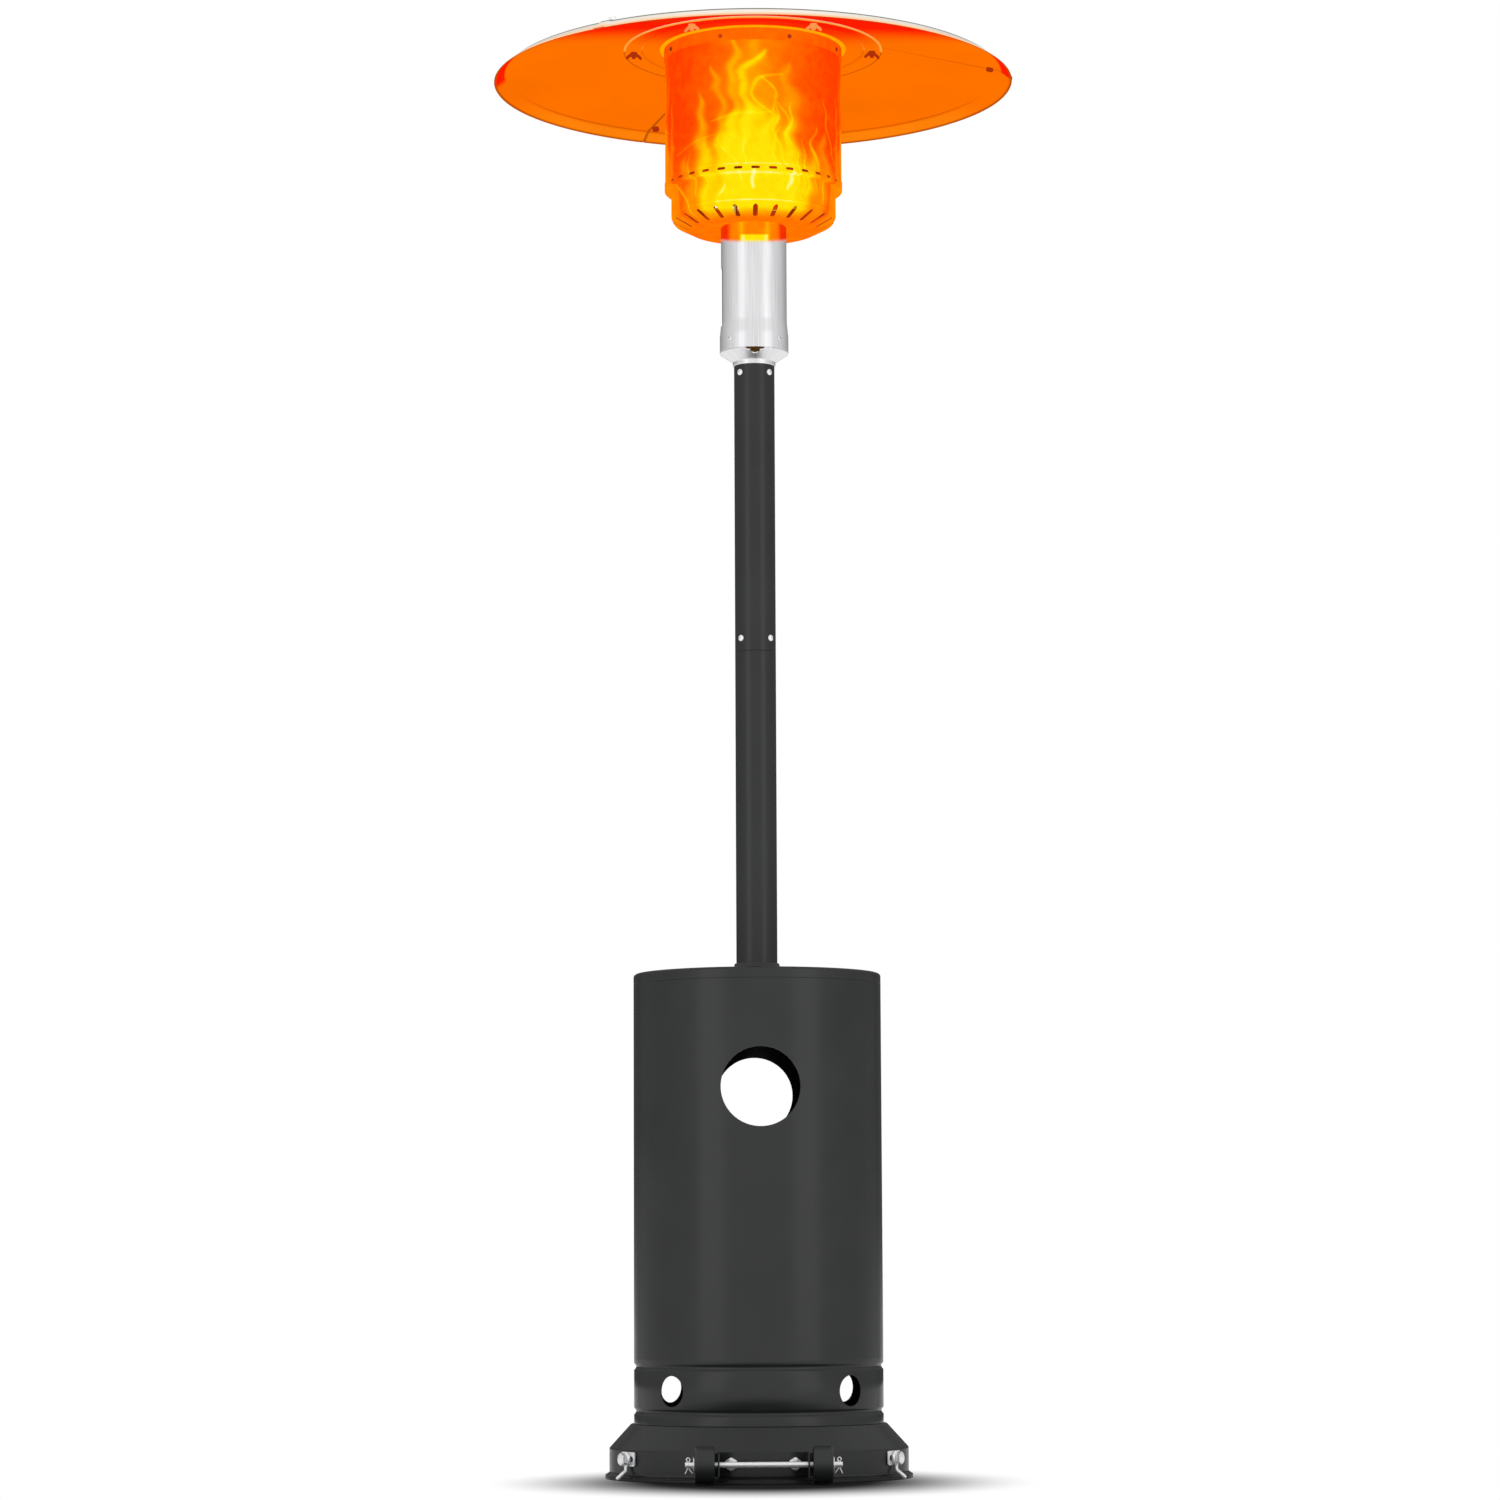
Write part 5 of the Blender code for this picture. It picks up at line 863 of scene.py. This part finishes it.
# Soft flame tongues: foot and tip as (degrees from the fan's middle, height), half width and sway in
# degrees, heat
TONGUES = (
    ((2, 1.93), (-1, 2.115), 36, 3, 0.52), ((-19, 1.95), (-15, 2.10), 12, 2, 0.6),
    ((6, 1.95), (8, 2.10), 11, -3, 0.5), ((28, 1.94), (24, 2.085), 12, 2, 0.45),
    ((-38, 1.97), (-35, 2.135), 7, 4, 0.4), ((38, 1.95), (41, 2.045), 9, -3, 0.42),
    ((-32, 1.95), (-34, 2.06), 10, -3, 0.4), ((2, 2.07), (0, 2.215), 18, 3, 0.24),
    ((-14, 2.15), (-14, 2.208), 4, 1, 0.36), ((-7, 2.148), (6, 2.186), 5, -2, 0.55),
    ((-23, 2.12), (-28, 2.165), 3.5, 2, 0.3), ((22, 2.08), (24, 2.17), 9, 3, 0.25),
    ((-52, 1.95), (-50, 2.03), 10, 2, 0.26), ((55, 1.95), (52, 2.07), 9, 2, 0.26))
# Thin licks: their points, half width in mm, heat
LICKS = (
    (((9, 2.08), (0, 2.092), (-4, 2.112), (-2, 2.132), (4, 2.142), (20, 2.144)), 3.2, 0.42),
    (((6, 2.14), (12, 2.128), (14, 2.105), (9, 2.085)), 2.6, 0.36), (((22, 2.1), (22, 2.03)), 2.0, 0.5),
    (((-31, 2.072), (-24, 2.074), (-14, 2.086), (-2, 2.08), (8, 2.084)), 2.0, 0.34),
    (((13, 2.10), (11, 2.06), (18, 2.03), (20, 2.0)), 2.6, 0.4),
    (((52, 2.12), (48, 2.09), (54, 2.065), (66, 2.03), (72, 1.98)), 1.8, 0.4),
    (((70, 2.11), (69, 2.06), (73, 2.0), (70, 1.95)), 1.8, 0.28),
    (((-84, 2.0), (-66, 1.985), (-55, 1.962), (-52, 1.945)), 2.2, 0.45),
    (((-24, 2.05), (-17, 2.02), (-11, 1.99), (-10, 1.965)), 2.2, 0.35),
    (((14, 2.10), (21, 2.07), (25, 2.035)), 2.4, 0.35),
    (((29, 2.03), (28, 1.955)), 1.2, 0.5), (((35, 2.05), (33, 2.0), (35, 1.955)), 1.4, 0.55),
    (((40, 2.04), (45, 2.01), (46, 1.96)), 1.4, 0.45), (((-60, 2.03), (-40, 2.045), (-24, 2.052)), 1.6, 0.25),
    (((-3, 1.994), (-3, 1.966)), 3.4, 0.95), (((23, 1.994), (23, 1.966)), 4.0, 0.95),
    (((-24, 1.974), (-25, 1.958)), 3.0, 0.7), (((38, 2.0), (38, 1.955)), 1.2, 0.5),
    (((-40, 1.998), (-36, 1.97), (-38, 1.952)), 1.5, 0.45), (((-8, 2.06), (-4, 2.03), (-9, 2.0)), 2.0, 0.35),
    (((17, 2.06), (12, 2.03), (15, 2.0)), 2.4, 0.4), (((58, 1.998), (52, 1.975), (56, 1.955)), 1.6, 0.4),
    (((44, 2.07), (40, 2.045), (45, 2.02)), 1.8, 0.4), (((-46, 2.03), (-50, 1.99), (-44, 1.96)), 1.6, 0.4))


def fan_heat(side, up):
    """One fan of flames: 1 - (1 - ground) * product of (1 - heat * exp(-(distance / half width)^2))."""
    side = side + 2.0 * np.sin(62 * up + 1) + 1.2 * np.sin(150 * up + 0.09 * side)
    ground = 0.13 + 0.26 * np.exp(-(side / 36) ** 2)
    ground += 0.28 * smooth((2.06 - up) / 0.1) * np.exp(-(side / 62) ** 2)
    ground -= 0.14 * np.exp(-((side + 9) / 9) ** 2 - ((up - 2.103) / 0.014) ** 2)
    rest = 1 - ground
    for (foot, low), (tip, high), half, sway, heat in TONGUES:
        share = np.clip((up - low) / (high - low), 0, 1)
        spine = foot + (tip - foot) * share + sway * np.sin(2 * np.pi * share) * share
        width = half * (1 - share) ** 0.75 * np.minimum(1, 0.7 + share) + 0.3
        rest *= 1 - heat * np.exp(-((side - spine) / width) ** 2) * smooth((1 - share) * 5)
    rest = np.maximum(rest, 0.17)
    per_degree = SCREEN_RADIUS * math.pi / 180
    for points, half, heat in LICKS:
        points = np.array(points)
        step = np.linspace(0, len(points) - 1, 49)
        line = np.column_stack([np.interp(step, range(len(points)), column) for column in points.T])
        for _ in range(60):
            line[1:-1] = (line[:-2] + line[2:]) / 2
        taper = np.sin(np.pi * np.linspace(0.04, 0.96, 49)) ** 0.5
        near = np.full(len(up), 9.0)
        for (middle, level), thin in zip(line, taper):
            away = np.hypot((side - middle) * per_degree, up - level) / (half * MM * thin)
            near = np.minimum(near, away)
        rest *= 1 - heat * np.exp(-near ** 2)
    return 1 - rest


def from_middle(turn):
    """Degrees from the nearer of the front and the back, -90 to 90."""
    half_turn = (turn + 270) % 180
    return half_turn - 180 * (half_turn > 90)


def flame_heat(x, y, z):
    """Heat from 0 to 1: a full fan of flames in front and behind and a mild one on either side, a bright
    line at the seams of the ring and the bowl's edge, a plain bowl bottom and a dull top ring."""
    turn = np.degrees(np.arctan2(y, x))
    out = np.hypot(x, y)
    heat = np.zeros(len(x))
    up = np.maximum(z, FLAME_FOOT)
    for middle, mirror, spread, level in ((-90, 1, 1, 1), (90, -1, 1, 1), (0, 1, 0.6, 0.55),
                                          (180, -1, 0.6, 0.55)):
        side = ((turn - middle + 180) % 360 - 180) * mirror / spread
        seen = np.abs(side) < HALF_FAN
        here = fan_heat(side[seen], up[seen]) * level * smooth((HALF_FAN - np.abs(side[seen])) / 12)
        heat[seen] = np.maximum(heat[seen], here)
    middle = np.exp(-from_middle(turn) ** 2 / 55 ** 2)
    for level, strength in ((RING_FOOT + RING_HEIGHT, 0.1), (RING_FOOT, 0.09), (BOWL_EDGE, 0.12)):
        heat += strength * middle * np.exp(-((z - level) / (1.1 * MM)) ** 2)
    under = smooth((out - 0.097) / 0.026)
    heat = np.where(z < BOWL_EDGE + 0.5 * MM, 0.36 + (heat - 0.36) * under, heat)
    heat = np.where(z > TOP_RING_UNDER - 19 * MM, 0.2 + 0.12 * middle, heat)
    return np.where(z > TOP_RING_UNDER - 1 * MM, 0.58, heat)


def neck_edge(x, y):
    """Angle from the nearer of the front and the back, and the height where the neck's painted reflection of
    the flames ends there.

    The edge rises towards the sides by the radius * tan 15.5 degrees * (1 - cos), and looks level from
    the camera.
    """
    side = np.abs(from_middle(np.degrees(np.arctan2(y, x))))
    return side, NECK_GLOW_FOOT + 14.2 * MM * (1 - np.cos(np.radians(side)))


def neck_painted_reflection(x, y, z):
    """The top of the neck in a painted reflection of the flames: orange with two paler bars of painted
    highlight, red at the sides, yellow where the glow ends.
    """
    side, edge = neck_edge(x, y)
    heat = 0.42 - 0.38 * smooth((side - 42) / 16) + 0.17 * np.exp(-((side - 23) / 5) ** 2)
    return heat + 0.42 * smooth((28 - side) / 7) * smooth((edge + 12 * MM - z) / (3 * MM))


def neck_lit(x, y, z):
    """1 in the glow and 0 below it, over 7 mm."""
    return smooth((z - neck_edge(x, y)[1] + 4 * MM) / (7 * MM))


def underside_glow(x, y, z):
    """Painted flame light on the undersides: red on the near side, orange beyond. Painted highlights: paler
    on
    the near half of the plate's rolled lip and its step, and on the far half of the panels' lip. Painted
    shade:
    darker in the far half of the crease, along the hem and at the end of each panel."""
    out = np.hypot(x, y)
    turn = np.degrees(np.arctan2(y, x))
    orange, red, amber, pale, painted_shade_colour = (np.array(linear(code)[:3]) for code in (
        "FF7200", "FF1A00", "FFA63C", "FF820A", "A84600"))
    # Painted light: redder towards the near side
    near = smooth((-y + 0.02 - 1.0 * np.maximum(np.abs(x) - 0.15, 0)) / 0.16)
    rim = REFLECTOR_UNDER - REFLECTOR_FALL
    lip = smooth((out - CREASE_RADIUS - 1.5 * MM) / (2 * MM))
    inside = lip * smooth((REFLECTOR_RADIUS - 3 * MM - out) / (2 * MM))
    near = np.maximum(near, inside * smooth((turn % 360 - 174) / 5)
                      * smooth((359.6 + SEAM_TURN - turn % 360) / 0.2))
    colour = orange + (pale - orange) * (lip * smooth((y - 0.12) / 0.15))[:, None]
    colour = colour + (red - colour) * near[:, None]
    # Painted shade in the crease, along the hem and at the panels' ends; painted highlights on the rolled
    # lip, its step and the plate's edge
    crease = np.exp(-((out - CREASE_RADIUS) / (1.1 * MM)) ** 2) * (np.abs(z - rim) < 3 * MM)
    ends = smooth(1.6 - np.abs((SEAM_TURN + 0.4 - turn) % 120 - 1) * 3.2) * (out > PLATE_RADIUS)
    rolled = smooth((PLATE_UNDER - 0.3 * MM - z) / (0.6 * MM)) * (out < PLATE_RADIUS + 1 * MM) * (out > 0.19)
    stepped = np.exp(-((out - 0.1745) / (1.3 * MM)) ** 2) * 0.45
    broad = (2.2 + 2.3 * np.clip(-y / np.maximum(out, MM), 0, 1) ** 4) * MM
    edge = smooth((out - PLATE_RADIUS + 2 * broad) / MM)
    edge = edge * (out < PLATE_RADIUS + MM) * (z < PLATE_UNDER + 1.5 * MM)
    hem = 0.8 * smooth((out - REFLECTOR_RADIUS + 4.2 * MM) / MM)
    lit = (y < 0) * np.maximum(np.maximum(rolled, stepped), edge)
    dark = (y >= 0) * np.maximum(rolled, stepped) * 0.7
    dark = np.maximum(np.maximum(dark, 0.6 * crease * smooth((y - 0.08) / 0.2)), np.maximum(0.8 * ends, hem))
    colour = colour + (amber - colour) * lit[:, None]
    return colour + (painted_shade_colour - colour) * dark[:, None]


def lip_share(x, y):
    """0 at the crease of the panels' lip and 1 at its hem."""
    return (np.hypot(x, y) - CREASE_RADIUS) / (REFLECTOR_RADIUS - CREASE_RADIUS)


def fold_line(x, y, z):
    """1 in the pressed fold above the lip, where painted shade darkens the sheet."""
    share = lip_share(x, y)
    return smooth((0.24 - share) / 0.1) * (share > -0.02)


def hem_glow(x, y, z):
    """1 along the lip's hem, which catches the light of the flames."""
    return smooth((lip_share(x, y) - 0.55) / 0.3)


def bolt_glow(x, y, z):
    """Fasteners under the reflector in painted flame light: a pale orange painted highlight on the near side
    and dark red elsewhere.
    """
    pale, dull = (np.array(linear(code)[:3]) for code in ("FF9A50", "AC300A"))
    return dull + (pale - dull) * smooth((-y - 0.12) / 0.05)[:, None]
# Painted light: the near side of each fastener is paler than the rest


def wing_nut():
    """A cast wing nut hanging below Z = 0: a cone core with two blades that rise and round off."""
    core = lathe(rounded([(3 * MM, 0), (5.6 * MM, 0, 0.4), (4.8 * MM, -7 * MM, 0.8),
                          (3 * MM, -7 * MM)], 3), 24)
    outline = np.array([(3.6, -1), (6, -2), (10, -5), (12.4, -8), (12.8, -10.4), (11.6, -11.5), (10, -11.3),
                        (8, -9.6), (5.6, -7.4), (3.6, -6)]) * MM
    stand = Matrix.Rotation(math.radians(90), 4, "X")
    blades = [placed(prism(outline * [sign, 1], -0.9 * MM, 0.9 * MM, 0.4 * MM), stand) for sign in (-1, 1)]
    return joined([core, *blades])


def reflector():
    """The plate, the three lipped panels that overlap, their studs, wing nuts and seam bolts."""
    sheet, step, fillet = 1.2 * MM, 0.176, 2
    roll, lip_in = PLATE_UNDER - 1.6 * MM, PLATE_RADIUS - 1.6 * MM
    rings = [(out, PLATE_UNDER) for out in (0.199, 0.198, 0.1965, 0.1945, 0.1935, 0.179)]
    plate = lathe(rounded([
        (0, PLATE_UNDER + 4.2 * MM), (step - 3 * MM, PLATE_UNDER + 4.2 * MM, fillet),
        (step, PLATE_UNDER + sheet, fillet), (PLATE_RADIUS, PLATE_UNDER + sheet, 1),
        (PLATE_RADIUS, roll, 0.6), (lip_in, roll, 0.6), (lip_in, PLATE_UNDER, 0.5), *rings,
        (step, PLATE_UNDER, fillet), (step - 3 * MM, PLATE_UNDER + 3 * MM, fillet),
        (0.06, PLATE_UNDER + 3 * MM), (0, PLATE_UNDER + 3 * MM)]))
    paint_inside(plate, lambda out, up, facing, tilt, spin: (tilt < 0.3) & (up < PLATE_UNDER + 3.4 * MM))
    put("centre_plate", stored(plate, "glow", underside_glow), [ALUMINIUM, FIRE_LIT], ["reflector_plate"])
    rim = REFLECTOR_UNDER - REFLECTOR_FALL
    slope = math.atan2(REFLECTOR_FALL, CREASE_RADIUS - REFLECTOR_FOLD)
    share = np.append(np.linspace(0.08, 0.94, 12), 0.987)[:, None]
    cone = (1 - share) * [REFLECTOR_FOLD, REFLECTOR_UNDER] + share * [CREASE_RADIUS, rim]
    crease = np.array([CREASE_RADIUS, rim])
    tip = np.array([REFLECTOR_RADIUS - 1.2 * MM, rim - REFLECTOR_LIP + 0.1 * MM])
    lip = [tip + (crease - tip) * part for part in (0.89, 0.77, 0.36, 0.2, 0.09)]
    line = rounded([(REFLECTOR_INNER, REFLECTOR_UNDER), (REFLECTOR_FOLD, REFLECTOR_UNDER, 5), *cone,
                    (*crease, 1.2), *lip, tip], 6)
    along = np.gradient(line, axis=0)
    along /= np.linalg.norm(along, axis=1)[:, None]
    outward = np.column_stack((-along[:, 1], along[:, 0]))
    stud, shank = pan_head(6.2 * MM, 4.2 * MM), rod(3 * MM, 0, -12.5 * MM, 24)
    seam_head = hexagon_head(6.2 * MM, 5 * MM)
    stud_out, seam_out = 0.187, 0.372
    studs = [upright(turn, REFLECTOR_UNDER + REFLECTOR_SHEET - GAP, stud_out) for turn in turns(6, -1.5)]
    seam_height = REFLECTOR_UNDER - (seam_out - REFLECTOR_FOLD) * math.tan(slope)
    for index, (side, start) in enumerate(zip(("right", "left", "near"), turns(3, SEAM_TURN))):
        end = start + 120 - SEAM_GAP
        turn = np.concatenate(([start - 3, start - 0.5], np.linspace(start, end - 0.5, 97), [end]))
        lift = np.where(turn < start, 1.3 * MM, 0)          # where it overlaps the panel before it
        loops = np.stack([np.concatenate((line + outward * rise,
                                          (line + outward * (rise + REFLECTOR_SHEET))[::-1]))
                          for rise in lift])
        panel = grid_mesh(turned(loops, np.radians(turn)), wrap_rows=False, caps=True)
        paint_inside(panel, lambda out, up, facing, tilt, spin: (
            (tilt < -0.5) | ((facing < -0.4) & (out > 0.2)) | (spin > 0.95)))
        for name, formula in (("fold_line", fold_line), ("hem_glow", hem_glow), ("glow", underside_glow)):
            stored(panel, name, formula)
        put(f"reflector_leaf_{side}", panel, [ALUMINIUM, FIRE_LIT], [f"reflector_panel_{side}"])
        own = studs[2 * index:2 * index + 2]
        seam = upright(start - 1.5, seam_height, seam_out) @ Matrix.Rotation(slope, 4, "Y")
        heads = joined([stud] * 2 + [shank] * 2 + [seam_head] * 2,
                       own + own + [seam @ along_z(2.3 * MM), seam @ Matrix.Rotation(math.pi, 4, "X")])
        paint_inside(heads, lambda out, up, facing, tilt, spin: up < np.where(
            out < 0.3, PLATE_UNDER, seam_height + 1 * MM))
        put(f"reflector_bolts_{side}", stored(heads, "glow", bolt_glow), [ZINC, FIRE_LIT])
    nut = wing_nut()
    for index, (place, turn) in enumerate(zip(studs, (20, 75, 130, 10, 95, 60)), 1):
        here = placed(nut, place @ along_z(-2.8 * MM) @ about_z(turn))
        put(f"butterfly_nut_{index}", stored(here, "glow", bolt_glow), FIRE_LIT, [f"wing_nut_{index}"])


def carried_over():
    """Gives the CAD nodes that stay their finishes."""
    finishes = {
        COAT: ("support_leg_near", "support_leg_far", "support_leg_right", "post_socket"),
        BRASS: ("gas_valve", "inlet_fitting", "gas_riser", "gas_nozzle", "pilot_burner", "thermocouple"),
        ZINC: ("valve_nut", "valve_stem"),
        PLASTIC: ("tip_over_switch",),
        CERAMIC: ("spark_electrode",),
        SCALED: ("mixing_tube", "burner_head"),
    }
    for finish, names in finishes.items():
        for name in names:
            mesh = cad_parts[name].data
            mesh.materials.clear()
            mesh.materials.append(finish)


# Studio

def studio():
    """Pale floor with a painted soft shadow around the base that reaches further towards the camera, soft
    strips on both sides and the camera at the photograph's angle.
    """
    span = 60
    floor_mesh = bpy.data.meshes.new("studio_floor")
    floor_mesh.from_pydata([(-span, -span, 0), (span, -span, 0), (span, span, 0), (-span, span, 0)], [],
                           [(0, 1, 2, 3)])
    # Painted shadow: the floor is dark 2A2A2A near the base and turns to even white light from 0.15 to 0.42 m
    # out, on an oval shifted towards the camera
    finish, tree, shader, place = new_finish("pale_floor_with_painted_shadow", Roughness=0.9, Specular_IOR_Level=0.0,
                                             Base_Color=linear("2A2A2A"))
    shadow_oval = add_node(tree, "VectorMath", {"operation": "MULTIPLY_ADD", 1: (1, 0.75, 0), 2: (0, 0.12, 0)},
                    {0: place})
    far = add_node(tree, "VectorMath", {"operation": "LENGTH"}, {0: shadow_oval}, "Value")
    share = add_node(tree, "MapRange", {"interpolation_type": "SMOOTHSTEP", "From Min": 0.15,
                                        "From Max": 0.42}, {"Value": far})
    light = add_node(tree, "Emission", {"Color": WHITE, "Strength": 1.0})
    mix = add_node(tree, "MixShader", links={0: share, 1: shader.outputs[0], 2: light})
    tree.links.new(mix, tree.nodes["Material Output"].inputs["Surface"])
    floor_mesh.materials.append(finish)
    shown("studio_floor", floor_mesh)

    # White behind the heater; its light comes from the camera's side and from above and behind
    world = bpy.data.worlds.new("studio")
    bpy.context.scene.world = world
    world.use_nodes = True
    tree = world.node_tree
    tree.nodes.clear()
    seen = add_node(tree, "LightPath", output="Is Camera Ray")
    way = add_node(tree, "TexCoord", output="Generated")
    way = add_node(tree, "SeparateXYZ", links={"Vector": way}).node.outputs
    ahead, up = way["Y"], way["Z"]
    behind = add_node(tree, "MapRange", {"From Min": -1.0, "From Max": 1.0}, {"Value": ahead})
    behind = add_node(tree, "Math", {"operation": "POWER", 1: 2.0}, {0: behind})
    front = add_node(tree, "MapRange", {"To Min": 0.94, "To Max": 0.08}, {"Value": behind})
    raised = add_node(tree, "Math", {"operation": "MAXIMUM", 1: 0.0}, {0: up})
    raised = add_node(tree, "Math", {"operation": "POWER", 1: 1.4}, {0: raised})
    away = add_node(tree, "MapRange", {"From Min": -0.3, "From Max": 1.0, "To Max": 1.05}, {"Value": ahead})
    above = add_node(tree, "Math", {"operation": "MULTIPLY"}, {0: raised, 1: away})
    level = add_node(tree, "Math", {"operation": "ADD"}, {0: front, 1: above})
    soft = add_node(tree, "Background", {"Color": WHITE}, {"Strength": level})
    white = add_node(tree, "Background", {"Color": WHITE, "Strength": 1.0})
    mix = add_node(tree, "MixShader", links={0: seen, 1: soft, 2: white})
    out = tree.nodes.new("ShaderNodeOutputWorld")
    out.is_active_output = True
    tree.links.new(mix, out.inputs["Surface"])

    away, height = 3.2, 1.3
    for name, turn in (("left_strip", -134), ("right_strip", -47)):
        lamp = bpy.data.lights.new(name, "AREA")
        lamp.shape, lamp.size, lamp.size_y, lamp.energy = "RECTANGLE", 1.4, 3.2, 6.4
        item = shown(name, lamp)
        spot = Vector((away * math.cos(math.radians(turn)), away * math.sin(math.radians(turn)), height))
        item.location = spot
        item.rotation_euler = (Vector((0, 0, height)) - spot).to_track_quat("-Z", "Y").to_euler()

    lens = bpy.data.cameras.new("camera")
    lens.sensor_width, lens.lens, lens.clip_end = 36, 110.4, 200
    camera = shown("camera", lens)
    pitch, yaw, roll = 90 + 6.57, -1.428, -0.25
    camera.matrix_world = (Matrix.Translation((-0.185, -7.053, 0.298)) @ about_z(yaw)
                           @ Matrix.Rotation(math.radians(pitch), 4, "X") @ about_z(roll))
    bpy.context.scene.camera = camera
    bpy.context.scene.view_settings.view_transform = "Standard"


studio()
base()
housing()
pole()
anchors()
wheels()
neck()
burner()
reflector()
carried_over()
